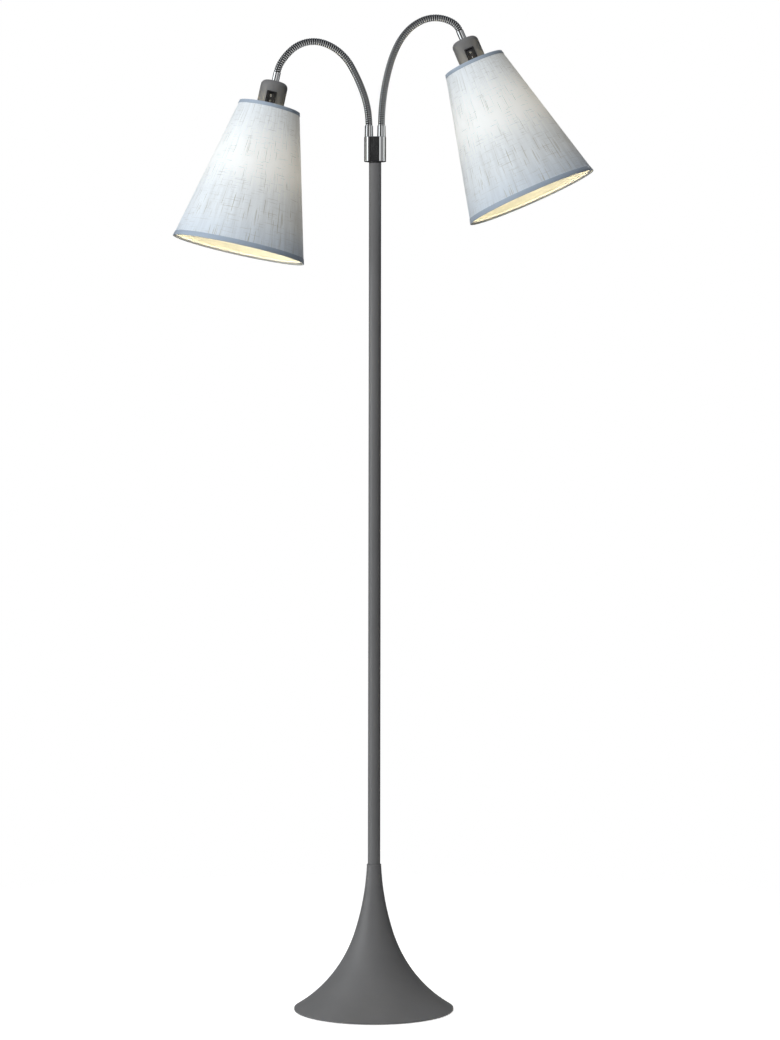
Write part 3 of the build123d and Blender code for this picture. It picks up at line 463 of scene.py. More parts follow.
def rim_tape():
    """Grosgrain tape: ribs across its width and a satin sheen."""
    tint = colours()
    material, graph, skin = new_material("Rim tape", Roughness=0.45, Sheen_Weight=0.4, Sheen_Roughness=0.35)
    place = graph.weave_place()
    cloth = graph.use(woven_yarns(), yarns_per_metre=2500.0, slub_density=0.2)
    across = graph.add("ShaderNodeSeparateXYZ", {0: place}).outputs["X"]
    rib = graph.math("SINE", graph.math("MULTIPLY", across, math.tau * 1100))
    base = graph.mix(cloth["Tone"], shade_of(tint.tape, 0.88), shade_of(tint.tape, 1.1))
    base = graph.mix(graph.spread(rib, -1, 1, 0.0, 0.2), base, shade_of(tint.tape, 0.7))
    graph.feed(skin["Base Color"], base)
    height = graph.math("MULTIPLY", rib, 0.5)
    height = graph.math("ADD", height, graph.math("MULTIPLY", cloth["Height"], 0.3))
    graph.feed(skin["Normal"], graph.bump(height, 0.4, 0.0002))
    return material


def opal_glass():
    """The lit bulb: opal glass that glows, with a slow drift in its warmth."""
    material, graph, skin = new_material("Opal glass", Roughness=0.18, Coat_Weight=0.5,
                                         Emission_Strength=light().bulb)
    peel = graph.use(orange_peel(), grain_scale=300.0, drift_scale=30.0)
    graph.feed(skin["Base Color"], graph.mix(peel["Tone"], (0.86, 0.82, 0.72, 1), (0.92, 0.90, 0.84, 1)))
    graph.feed(skin["Emission Color"], graph.mix(peel["Tone"], (1.0, 0.89, 0.70, 1), (1.0, 0.93, 0.78, 1)))
    return material


@functools.lru_cache(None)
def white_ink():
    material, graph, skin = new_material("Mark ink", Roughness=0.5)
    peel = graph.use(orange_peel(), grain_scale=2500.0)
    graph.feed(skin["Base Color"], graph.mix(peel["Tone"], (0.70, 0.71, 0.73, 1), (0.86, 0.87, 0.88, 1)))
    graph.feed(skin["Normal"], graph.bump(peel["Height"], 0.2, 0.0001))
    return material


@functools.lru_cache(None)
def finish(slot):
    """The material of one of the record's slots."""
    tint = colours()
    makers = {
        "painted_grey": lambda: sprayed("Grey powder coat", tint.paint, 1100.0, 0.46, dusty=0.06),
        "cast_weight": cast_iron,
        "zinc_steel": lambda: metal("Zinc plate", (0.55, 0.55, 0.57), 0.30, 0.15, smear=0.2),
        "felt": pressed_felt,
        "black_plastic": lambda: sprayed("Black plastic", (0.018, 0.018, 0.020), 1700.0, 0.38),
        "rocker_plastic": lambda: sprayed("Rocker plastic", (0.012, 0.012, 0.014), 2200.0, 0.28),
        "terminal_plastic": lambda: sprayed("Terminal plastic", (0.75, 0.74, 0.70), 1500.0, 0.45),
        "lead_sheath": lambda: sprayed("Lead sheath", (0.75, 0.75, 0.73), 2500.0, 0.5),
        "chrome": lambda: metal("Chrome", tint.plating, 0.05, 0.02, smear=0.03),
        "holder_plastic": lambda: sprayed("Holder plastic", (0.80, 0.79, 0.76), 1500.0, 0.4),
        "contact_brass": lambda: metal("Contact brass", (0.72, 0.55, 0.25), 0.25, 0.2),
        "wire_white": lambda: sprayed("White enamel", (0.82, 0.81, 0.78), 1600.0, 0.35),
        "shade_fabric": linen,
        "shade_trim": rim_tape,
        "bulb_glass": opal_glass,
        "bulb_cap": lambda: metal("Bulb cap", (0.75, 0.75, 0.76), 0.28, 0.25),
    }
    return makers[slot]()


# ---- where things are ----
@functools.lru_cache(None)
def neck_place(arm, ribs):
    """The frame on an arm's centreline so many ribs above its foot: +X to the front, +Z along the neck.
    Below the foot and past the last rib it runs on straight."""
    side, turns = ARMS[arm]
    x, z, lean = side * NECK_SPACING / 2, NECK_FOOT_Z, 0.0
    ahead = ribs
    if ahead < 0:
        z += ahead * NECK_PITCH
        ahead = 0
    for count, turn in zip(NECK_RIBS, turns):
        passed = min(ahead, count)
        radius = count * NECK_PITCH / math.radians(turn)
        lean_here = lean + math.radians(turn) * passed / count
        x += side * radius * (math.cos(lean) - math.cos(lean_here))
        z += radius * (math.sin(lean_here) - math.sin(lean))
        lean = lean_here
        ahead -= passed
    x += side * math.sin(lean) * ahead * NECK_PITCH
    z += math.cos(lean) * ahead * NECK_PITCH
    along = Vector((side * math.sin(lean), 0, math.cos(lean)))
    front = Vector((0, -1, 0))
    place = Matrix((front, along.cross(front), along)).transposed().to_4x4()
    place.translation = (x, 0, z)
    return place


def head_place(arm):
    return neck_place(arm, sum(NECK_RIBS))


# ---- plain shapes in mesh code ----
def piece(name, shape, slot, body=None, nodes=(), crisp=35, material=None):
    """Makes the finished object from a bmesh, lets it ride on its body and hides the solids it takes the
    place of.
    """
    mesh = bpy.data.meshes.new(name)
    shape.to_mesh(mesh)
    shape.free()
    mesh.materials.append(material or finish(slot))
    mesh.shade_smooth()
    mesh.set_sharp_from_angle(angle=math.radians(crisp))
    made = bpy.data.objects.new(name, mesh)
    bpy.context.scene.collection.objects.link(made)
    if body:
        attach(made, body)
    if nodes:
        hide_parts(*nodes)
    return made


def spun(outline, steps=96, closed=True):
    """Turns a line of (radius, height) points all round Z."""
    shape = bmesh.new()
    points = [shape.verts.new((radius, 0, height)) for radius, height in outline]
    lines = [shape.edges.new(pair) for pair in zip(points, points[1:] + points[:closed])]
    bmesh.ops.spin(shape, geom=points + lines, cent=(0, 0, 0), axis=(0, 0, 1), angle=math.tau, steps=steps,
                   use_merge=True)
    bmesh.ops.remove_doubles(shape, verts=shape.verts, dist=1e-7)
    bmesh.ops.recalc_face_normals(shape, faces=shape.faces)
    return shape


def soften(shape, width, angle=30, segments=2):
    """Bevels every edge where two faces meet at more than an angle."""
    sharp = [edge for edge in shape.edges
             if len(edge.link_faces) == 2 and edge.calc_face_angle() > math.radians(angle)]
    bmesh.ops.bevel(shape, geom=sharp, offset=width, segments=segments, profile=0.5, affect="EDGES",
                    material=-1)


def made_of(result, kind):
    """The vertices, edges or faces that a mesh operator made."""
    return [item for item in result["geom"] if isinstance(item, kind)]


def long_edges(wall):
    """The edges that run the length of a tube one unit long."""
    return list({edge for vert in wall["verts"] for edge in vert.link_edges
                 if abs(edge.verts[0].co.z - edge.verts[1].co.z) > 0.5})


def put(shape, place):
    bmesh.ops.transform(shape, matrix=place, verts=shape.verts)
    return shape


# ---- goosenecks and their leads ----
RING_SIDES = 40
RINGS_PER_RIB = 9
WIRE_TURNS_PER_RIB = 0.87
MAIN_WIRE = 0.42


def wire_rise(ribs, angle):
    """How high the neck's wound wire stands, from 0 in the groove between its turns to 1 on its crest."""
    if not 0 < ribs < sum(NECK_RIBS):
        return 0.0
    turn = (ribs * WIRE_TURNS_PER_RIB - angle / math.tau) % 1
    main = (turn - 0.5) / MAIN_WIRE
    return math.sqrt(max(0.0, 1 - main * main))


def neck_hose(arm, first, last):
    """A stretch of wound neck between two rib counts: the ribbed outside, the bore, and both ends."""
    length = last - first
    shape = bmesh.new()
    for radius, rings in ((1.0, round(length * RINGS_PER_RIB)), (0.5, round(length))):
        wall = bmesh.ops.create_cone(shape, cap_ends=False, segments=RING_SIDES, radius1=radius,
                                     radius2=radius, depth=1.0)
        bmesh.ops.subdivide_edges(shape, edges=long_edges(wall), cuts=rings - 1)
    for end in (-0.5, 0.5):
        rim = [edge for edge in shape.edges if edge.is_boundary and abs(edge.verts[0].co.z - end) < 1e-4]
        bmesh.ops.bridge_loops(shape, edges=rim)
    height = shape.verts.layers.float.new(RISE_MAP)
    for vert in shape.verts:
        ribs = first + (vert.co.z + 0.5) * length
        angle = math.atan2(vert.co.y, vert.co.x)
        radius = NECK_BORE
        if vert.co.xy.length > 0.75:
            vert[height] = wire_rise(ribs, angle)
            radius = NECK_VALLEY + (NECK_CREST - NECK_VALLEY) * vert[height]
        ring = Vector((radius * math.cos(angle), radius * math.sin(angle), 0))
        vert.co = neck_place(arm, round(ribs, 4)) @ ring
    bmesh.ops.recalc_face_normals(shape, faces=shape.faces)
    return shape


def lead_hose(arm, first, last):
    """A stretch of the lead. In the block it leans over from beside its twin to the foot of its neck."""
    side = ARMS[arm][0]
    length = last - first
    shape = bmesh.new()
    wall = bmesh.ops.create_cone(shape, cap_ends=True, segments=16, radius1=1.0, radius2=1.0, depth=1.0)
    bmesh.ops.subdivide_edges(shape, edges=long_edges(wall), cuts=round(length) - 1)
    reach = (NECK_SPACING - LEAD_SPACING) / 2
    for vert in shape.verts:
        ribs = first + (vert.co.z + 0.5) * length
        ring = Vector((vert.co.x * LEAD_RADIUS, vert.co.y * LEAD_RADIUS, 0))
        vert.co = neck_place(arm, round(ribs, 4)) @ ring
        risen = (vert.co.z - LEAD_BEND_BOTTOM) / (LEAD_BEND_TOP - LEAD_BEND_BOTTOM)
        if risen < 1 and ribs < 0:
            vert.co.x -= side * reach * (1 + math.cos(math.pi * max(risen, 0))) / 2
    bmesh.ops.recalc_face_normals(shape, faces=shape.faces)
    return shape


def hinge_stretches():
    """For each hinge of an arm, the rib counts midway along the stretch before it and the one after."""
    ends = [sum(NECK_RIBS[:number + 1]) for number in range(len(NECK_RIBS))]
    middles = [end - count / 2 for end, count in zip(ends, NECK_RIBS)]
    return list(zip(middles, middles[1:] + [ends[-1]]))


def bent_pieces(arm, what, maker, foot, head, slot, nodes, skin=None):
    """Makes an arm's hose in one piece for each hinge, from the middle of the stretch before it to the middle
    of the one after; the first starts at the foot, the last ends at the head.
    """
    stretches = hinge_stretches()
    for number, (before, after) in enumerate(stretches, start=1):
        first = foot if number == 1 else before
        last = head if number == len(stretches) else after
        made = piece(f"{arm}_{what}_{number}", maker(arm, first, last), slot, crisp=60, material=skin)
        end = neck_place(arm, after - 1.0 if number == len(stretches) else after).translation
        neck_place(arm, before).translation
        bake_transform(made)
        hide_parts(*nodes(number))


class LAMP_OT_goosenecks(bpy.types.Operator):
    """Winds the two ribbed necks, one piece across each hinge."""
    bl_idname = "lamp.goosenecks"
    bl_label = "Goosenecks"

    def execute(self, context):
        # the wound chrome carries painted shade in the grooves between the wire's turns
        skin = metal("Wound chrome", colours().plating, 0.06, 0.04, smear=0.05, paint_groove_shade=True)
        for arm in ARMS:
            tail = -NECK_TAIL / NECK_PITCH
            head = sum(NECK_RIBS) + FERRULE_GAP / NECK_PITCH
            bent_pieces(arm, "wound_neck", neck_hose, tail, head, "chrome",
                        lambda number: [f"{arm}_neck_{number}"], skin)
        return {"FINISHED"}


class LAMP_OT_leads(bpy.types.Operator):
    """Runs the lead inside each neck along its curve, one piece across each hinge."""
    bl_idname = "lamp.leads"
    bl_label = "Leads"

    def execute(self, context):
        foot = (LEAD_BEND_BOTTOM - NECK_FOOT_Z) / NECK_PITCH
        head = sum(NECK_RIBS) + HOLDER_TOP / NECK_PITCH
        for arm in ARMS:
            bent_pieces(arm, "inner_lead", lead_hose, foot, head, "lead_sheath",
                        lambda number: [f"{arm}_lead"])
        return {"FINISHED"}


# ---- stand ----
FELT_WIDTH = 0.036
FELT_EDGE = 0.0006
FELT_RINGS = 16
FELT_FUZZ = 0.00012
SCREW_CIRCLE_RADIUS = 0.058
SCREW_TURN = 0.4
GRUB_EDGE = 0.0003
GRUB_SOCKET_EDGE = 0.0002


class LAMP_OT_finishes(bpy.types.Operator):
    """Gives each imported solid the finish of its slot."""
    bl_idname = "lamp.finishes"
    bl_label = "Finishes of the solids"

    def execute(self, context):
        for node in NODES.values():
            for place in node.material_slots:
                place.material = finish(place.material.name)
        return {"FINISHED"}


class LAMP_OT_felt_pad(bpy.types.Operator):
    """Lays the felt ring under the base."""
    bl_idname = "lamp.felt_pad"
    bl_label = "Felt pad"

    def execute(self, context):
        low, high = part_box("base_felt_pad")
        outer = high.x
        inner = outer - FELT_WIDTH
        level = FELT_WIDTH - 2 * FELT_EDGE
        radii = [inner + FELT_EDGE + level * step / FELT_RINGS for step in range(FELT_RINGS + 1)]
        outline = [(radius, low.z) for radius in radii]
        outline += [(outer, low.z + FELT_EDGE), (outer, high.z - FELT_EDGE)]
        outline += [(radius, high.z) for radius in reversed(radii)]
        outline += [(inner, high.z - FELT_EDGE), (inner, low.z + FELT_EDGE)]
        shape = spun(outline, steps=200)
        for vert in shape.verts:
            fuzz = noise.noise(vert.co * 900) * FELT_FUZZ
            vert.co.z += fuzz if vert.co.z > high.z / 2 else abs(fuzz)
            vert.co.z = min(vert.co.z, high.z)
        pad = piece("felt_ring", shape, "felt", "root", ("base_felt_pad",), crisp=60)
        return {"FINISHED"}


def cross_head_screw(shape, place):
    """A screw with a crossed recess, head down, its shank up."""
    head_radius, head_height, shank_radius, shank_length = 0.0038, 0.0015, 0.002, 0.0115
    slot_half, slot_reach, depth = 0.0005, 0.0021, 0.0009
    face = bmesh.ops.create_circle(shape, cap_ends=True, radius=head_radius, segments=32)
    disc = list({loop_face for vert in face["verts"] for loop_face in vert.link_faces})
    rim = list(dict.fromkeys(edge for vert in face["verts"] for edge in vert.link_edges))
    wall = bmesh.ops.extrude_edge_only(shape, edges=rim)
    lifted = made_of(wall, bmesh.types.BMVert)
    bmesh.ops.translate(shape, verts=lifted, vec=(0, 0, head_height))
    ring = made_of(wall, bmesh.types.BMEdge)
    under = bmesh.ops.extrude_edge_only(shape, edges=ring)
    neck = made_of(under, bmesh.types.BMVert)
    bmesh.ops.scale(shape, verts=neck, vec=(shank_radius / head_radius, shank_radius / head_radius, 1))
    ring = made_of(under, bmesh.types.BMEdge)
    shank = bmesh.ops.extrude_edge_only(shape, edges=ring)
    tip = made_of(shank, bmesh.types.BMVert)
    bmesh.ops.translate(shape, verts=tip, vec=(0, 0, shank_length))
    ring = made_of(shank, bmesh.types.BMEdge)
    bmesh.ops.edgeloop_fill(shape, edges=ring)
    for axis in (Vector((1, 0, 0)), Vector((0, 1, 0))):
        for reach in (-slot_reach, -slot_half, slot_half, slot_reach):
            disc = [item for item in disc if item.is_valid]
            around = {edge for item in disc for edge in item.edges}
            around |= {vert for item in disc for vert in item.verts}
            cut = bmesh.ops.bisect_plane(shape, geom=disc + list(around), plane_co=axis * reach,
                                         plane_no=axis, dist=1e-8)
            disc = made_of(cut, bmesh.types.BMFace)
    cross = []
    for item in disc:
        middle = item.calc_center_median()
        near, far = sorted((abs(middle.x), abs(middle.y)))
        if near < slot_half and far < slot_reach:
            cross.append(item)
    pushed = bmesh.ops.extrude_face_region(shape, geom=cross)
    sunk = made_of(pushed, bmesh.types.BMVert)
    bmesh.ops.translate(shape, verts=sunk, vec=(0, 0, depth))
    bmesh.ops.delete(shape, geom=cross, context="FACES_ONLY")
    put(shape, place)


class LAMP_OT_cover_screws(bpy.types.Operator):
    """Sets the four cross-head screws in the base's cover."""
    bl_idname = "lamp.cover_screws"
    bl_label = "Cover screws"

    def execute(self, context):
        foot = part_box("cover_screws")[0].z
        for number in range(4):
            shape = bmesh.new()
            turn = Matrix.Rotation(math.radians(45 + 90 * number), 4, "Z")
            place = (turn @ Matrix.Translation((SCREW_CIRCLE_RADIUS, 0, foot))
                     @ Matrix.Rotation(SCREW_TURN * number, 4, "Z"))
            cross_head_screw(shape, place)
            bmesh.ops.recalc_face_normals(shape, faces=shape.faces)
            piece(f"cover_screw_{number + 1}", shape, "zinc_steel", "root", ("cover_screws",), crisp=30)
        return {"FINISHED"}


class LAMP_OT_grub_screws(bpy.types.Operator):
    """Sets the two hexagon-socket grub screws in the back of the block."""
    bl_idname = "lamp.grub_screws"
    bl_label = "Grub screws"

    def execute(self, context):
        low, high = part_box("block_grub_screws")
        radius, across, depth = (high.z - low.z) / 2, 0.0008, 0.0012
        for side in (-1, 1):
            outline = [(0, depth), (across, depth), (across, GRUB_SOCKET_EDGE), (radius - GRUB_EDGE, 0),
                       (radius, GRUB_EDGE), (radius, high.y - low.y), (0, high.y - low.y)]
            shape = spun(outline, steps=24, closed=False)
            for vert in shape.verts:
                if vert.co.xy.length < across * 1.01 and vert.co.z < depth * 1.01:
                    corner = math.atan2(vert.co.y, vert.co.x) % (math.pi / 3) - math.pi / 6
                    vert.co.xy = vert.co.xy / math.cos(corner) * math.cos(math.pi / 6)
            x = side * (high.x - radius)
            place = Matrix.Translation((x, high.y, (low.z + high.z) / 2))
            put(shape, place @ Matrix.Rotation(math.pi / 2, 4, "X"))
            bmesh.ops.recalc_face_normals(shape, faces=shape.faces)
            number = 1 if side < 0 else 2
            piece(f"grub_screw_{number}", shape, "zinc_steel", "root", ("block_grub_screws",))
        return {"FINISHED"}


# ---- lamp heads ----
THREAD_PITCH = 0.0025
THREAD_DEPTH = 0.0006
GRIP_FLUTES = 30
FLUTE_DEPTH = 0.0007
HOLDER_PLAY = 0.00005
HOLDER_EDGE = 0.0006
FLANGE_EDGE = 0.0004
SKIRT_EDGE = 0.0005
RING_EDGE = 0.0012
# How much a bulb's neck swells past a plain S curve, near its foot and near its ball.
NECK_FOOT_SWELL = 0.1
NECK_BALL_SWELL = 0.35


class LAMP_OT_holders(bpy.types.Operator):
    """Turns the threaded lampholders and the grip rings that hold the shades."""
    bl_idname = "lamp.holders"
    bl_label = "Lampholders"

    def execute(self, context):
        snug = HOLDER_BORE_RADIUS - HOLDER_PLAY
        turns = int((SKIRT_END - RING_BOTTOM) / THREAD_PITCH)
        start = SKIRT_END - turns * THREAD_PITCH
        for arm in ARMS:
            outline = [(0.0, HOLDER_TOP), (HOLDER_BORE_RADIUS - HOLDER_EDGE, HOLDER_TOP),
                       (snug, HOLDER_TOP + HOLDER_EDGE), (snug, CAP_BOTTOM),
                       (FLANGE_RADIUS - FLANGE_EDGE, CAP_BOTTOM), (FLANGE_RADIUS, CAP_BOTTOM + FLANGE_EDGE),
                       (FLANGE_RADIUS, FLANGE_BOTTOM - FLANGE_EDGE),
                       (FLANGE_RADIUS - FLANGE_EDGE, FLANGE_BOTTOM), (SKIRT_RADIUS, FLANGE_BOTTOM)]
            for number in range(turns):
                for share, cut in ((0.1, 0.0), (0.35, 0.0), (0.6, THREAD_DEPTH), (0.85, THREAD_DEPTH)):
                    outline.append((SKIRT_RADIUS - cut, start + (number + share) * THREAD_PITCH))
            outline += [(SKIRT_RADIUS - SKIRT_EDGE, SKIRT_END), (SOCKET_RADIUS + HOLDER_EDGE, SKIRT_END),
                        (SOCKET_RADIUS, SKIRT_END - HOLDER_EDGE), (SOCKET_RADIUS, SOCKET_FLOOR),
                        (0.0, SOCKET_FLOOR)]
            shape = put(spun(outline, closed=False), head_place(arm))
            piece(f"{arm}_threaded_holder", shape, "holder_plastic", f"{arm}_head", (f"{arm}_lampholder",))
            bore = SKIRT_RADIUS + HOLDER_PLAY
            ring = [(bore, RING_TOP), (RING_RADIUS - FLANGE_EDGE, RING_TOP),
                    (RING_RADIUS, RING_TOP + FLANGE_EDGE), (RING_RADIUS, RING_BOTTOM - RING_EDGE),
                    (RING_RADIUS - RING_EDGE, RING_BOTTOM), (bore, RING_BOTTOM)]
            shape = spun(ring, steps=GRIP_FLUTES * 6)
            for vert in shape.verts:
                if vert.co.xy.length > RING_RADIUS - SKIRT_EDGE:
                    wave = 0.5 - 0.5 * math.cos(GRIP_FLUTES * math.atan2(vert.co.y, vert.co.x))
                    vert.co.xy *= 1 - FLUTE_DEPTH * wave / RING_RADIUS
            piece(f"{arm}_grip_ring", put(shape, head_place(arm)), "holder_plastic", f"{arm}_head",
                  (f"{arm}_shade_ring",))
        return {"FINISHED"}


def rocker_shape(width):
    """The rocker's V face over its keel, extruded across and softened, with its cross pin."""
    rise, keel, half = 0.003, 0.0025, 0.0078
    out = rise + half * math.tan(ROCKER_TILT)
    outline = [(out, -half), (rise, 0), (out, half), (0, half), (-keel, 0), (0, -half)]
    shape = bmesh.new()
    side = shape.faces.new([shape.verts.new((x, -width / 2, z)) for x, z in outline])
    pushed = bmesh.ops.extrude_face_region(shape, geom=[side])
    far = made_of(pushed, bmesh.types.BMVert)
    bmesh.ops.translate(shape, verts=far, vec=(0, width, 0))
    bmesh.ops.recalc_face_normals(shape, faces=shape.faces)
    soften(shape, 0.0005, angle=25, segments=3)
    bmesh.ops.create_cone(shape, cap_ends=True, segments=24, radius1=0.0012, radius2=0.0012,
                          depth=width + 0.002, matrix=Matrix.Rotation(math.pi / 2, 4, "X"))
    return shape, rise, out, half


class LAMP_OT_rockers(bpy.types.Operator):
    """Makes the two rockers, tipped to on, with a ring on the off end and a bar on the on end."""
    bl_idname = "lamp.rockers"
    bl_label = "Rockers"

    def execute(self, context):
        tall = sizes().mark_height
        for arm in ARMS:
            shape, rise, out, half = rocker_shape(sizes().rocker_width)
            place = (head_place(arm) @ Matrix.Translation((PIVOT_OUT, 0, PIVOT_ALONG))
                     @ Matrix.Rotation(-ROCKER_TILT, 4, "Y"))
            piece(f"{arm}_rocker_cap", put(shape, place), "rocker_plastic", f"{arm}_rocker",
                  (f"{arm}_switch_rocker",))
            for word, end in (("off_mark", -1), ("on_mark", 1)):
                quarter = math.pi / 2 + end * ROCKER_TILT
                face = (place @ Matrix.Translation(((rise + out) / 2, 0, end * half / 2))
                        @ Matrix.Rotation(quarter, 4, "Y"))
                if end < 0:
                    stroke, lift = tall * 0.13, 0.00012
                    outline = [(tall / 2 - stroke, -0.0001), (tall / 2, -0.0001), (tall / 2, lift * 0.6),
                               (tall / 2 - stroke / 2, lift), (tall / 2 - stroke, lift * 0.6)]
                    mark = spun(outline, steps=40)
                    bmesh.ops.scale(mark, verts=mark.verts, vec=(1, 0.82, 1))
                else:
                    mark = bmesh.new()
                    bmesh.ops.create_cube(mark, size=1.0)
                    bmesh.ops.scale(mark, verts=mark.verts, vec=(tall, tall * 0.15, 0.00024))
                    soften(mark, 0.00008)
                piece(f"{arm}_{word}", put(mark, face), None, f"{arm}_rocker", crisp=50, material=white_ink())
        return {"FINISHED"}


class LAMP_OT_bulbs(bpy.types.Operator):
    """Blows the two opal globes, each with a neck that flows into its ball."""
    bl_idname = "lamp.bulbs"
    bl_label = "Bulbs"

    def execute(self, context):
        low_angle, steps = math.radians(-48), 28
        join_radius = BULB_RADIUS * math.cos(low_angle)
        join_z = BULB_CENTRE + BULB_RADIUS * math.sin(low_angle)
        outside = []
        for step in range(12):
            share = step / 12
            rise = share * share * (3 - 2 * share)
            swell = share * (1 - share) * (1 - share) * NECK_FOOT_SWELL
            swell += share * share * (1 - share) * NECK_BALL_SWELL
            radius = BULB_NECK_RADIUS + (join_radius - BULB_NECK_RADIUS) * (rise + swell)
            outside.append((radius, BULB_NECK_START + (join_z - BULB_NECK_START) * share))
        for step in range(steps + 1):
            angle = low_angle + (math.pi / 2 - low_angle) * step / steps
            outside.append((BULB_RADIUS * math.cos(angle), BULB_CENTRE + BULB_RADIUS * math.sin(angle)))
        outside[-1] = (0.0, outside[-1][1])
        inside = []
        for radius, height in reversed(outside):
            narrow = max(radius - GLASS_WALL, 0.0)
            inside.append((narrow, height - GLASS_WALL * max(0, (height - BULB_CENTRE) / BULB_RADIUS)))
        for arm in ARMS:
            shape = put(spun(outside + inside), head_place(arm))
            piece(f"{arm}_opal_globe", shape, "bulb_glass", f"{arm}_head", (f"{arm}_bulb_globe",), crisp=50)
        return {"FINISHED"}


# ---- shades ----
def cone_radius(along, depth=0.0):
    """The shade's radius at a place along the head's axis, so far under its outside."""
    return SHADE_TOP_RADIUS + SHADE_SLOPE * (along - SHADE_TOP) - depth * SHADE_SECANT


def conical_skin(outer_depth, inner_depth, top, bottom, rows):
    """The outline of a skin that lies between two depths under the shade's outside."""
    steps = [top + (bottom - top) * row / rows for row in range(rows + 1)]
    outline = [(cone_radius(along, outer_depth), along) for along in steps]
    return outline + [(cone_radius(along, inner_depth), along) for along in reversed(steps)]


def map_weave(shape):
    """Lays the cloth's map on a turned piece: metres round at the mean radius, and metres down."""
    layer = shape.loops.layers.uv.new(WEAVE_MAP)
    for face in shape.faces:
        middle = face.calc_center_median()
        facing = math.atan2(middle.y, middle.x)
        for loop in face.loops:
            turn = math.atan2(loop.vert.co.y, loop.vert.co.x)
            turn += math.tau * round((facing - turn) / math.tau)
            loop[layer].uv = (turn * SHADE_MEAN_RADIUS, (loop.vert.co.z - SHADE_TOP) * SHADE_SECANT)
    return shape


def tape_outline(rim, height, outward, thickness):
    """A tape folded over a rim: a rounded band outside, and the fold across the edge."""
    band_end = rim - outward * height
    edge = rim + outward * thickness
    half = outward * thickness / 2
    return [(cone_radius(rim, SHADE_WALL), rim), (cone_radius(rim, 0), rim),
            (cone_radius(band_end, 0), band_end),
            (cone_radius(band_end, -thickness * 0.7), band_end + half * 0.4),
            (cone_radius(band_end + half, -thickness), band_end + half * 2),
            (cone_radius(rim, -thickness), rim - half),
            (cone_radius(rim, -thickness * 0.8), edge - half * 0.5),
            (cone_radius(rim, -thickness * 0.2), edge), (cone_radius(rim, SHADE_WALL), edge)]


class LAMP_OT_shades(bpy.types.Operator):
    """Makes each shade: linen outside, its lining and the tapes on its rims."""
    bl_idname = "lamp.shades"
    bl_label = "Shades"

    def execute(self, context):
        cut = sizes()
        skin = lining()
        for arm in ARMS:
            place = head_place(arm)
            body = f"{arm}_head"
            outline = conical_skin(0.0, cut.cloth_thickness, SHADE_TOP, SHADE_BOTTOM, 48)
            cloth = piece(f"{arm}_shade_linen", put(map_weave(spun(outline, steps=192)), place),
                          "shade_fabric", body, (f"{arm}_shade_cone",), crisp=50)
            lining_depth = SHADE_WALL - cut.lining_thickness
            outline = conical_skin(lining_depth, SHADE_WALL, SHADE_TOP, SHADE_BOTTOM, 24)
            inner = piece(f"{arm}_shade_lining", put(map_weave(spun(outline, steps=192)), place),
                          "shade_fabric", body, (f"{arm}_shade_cone",), crisp=50, material=skin)
            for word, rim, height, outward in (("top_tape", SHADE_TOP, cut.top_tape, -1),
                                               ("bottom_tape", SHADE_BOTTOM, cut.bottom_tape, 1)):
                outline = tape_outline(rim, height, outward, cut.tape_thickness)
                tape = put(map_weave(spun(outline, steps=192)), place)
                piece(f"{arm}_{word}", tape, "shade_trim", body, (f"{arm}_shade_trims",),
                                   crisp=50)
        return {"FINISHED"}


# ---- studio ----
CAMERA_PLACE = (0.0232, -3.9, 0.775)
CAMERA_ROLL = math.radians(-0.09)
CAMERA_LENS = 89.6
CAMERA_SHIFT_Y = -0.0242
FLOOR_FADE = (0.4, 1.4)
FLOOR_LIFT = 0.7


def soft_light(name, power, size, azimuth, elevation, distance, aim, tint, mirrored):
    """An area light that faces a point from an azimuth, 0 being the camera's side and + to the right.
    The chrome shows it only where it is mirrored."""
    data = bpy.data.lights.new(name, "AREA")
    data.shape = "RECTANGLE"
    data.size, data.size_y = size
    data.energy = power
    data.color = tint
    lamp = bpy.data.objects.new(name, data)
    turn, lift = math.radians(azimuth), math.radians(elevation)
    away = Vector((math.sin(turn) * math.cos(lift), -math.cos(turn) * math.cos(lift), math.sin(lift)))
    lamp.location = Vector(aim) + away * distance
    lamp.rotation_euler = away.to_track_quat("Z", "Y").to_euler()
    lamp.visible_glossy = mirrored
    bpy.context.scene.collection.objects.link(lamp)


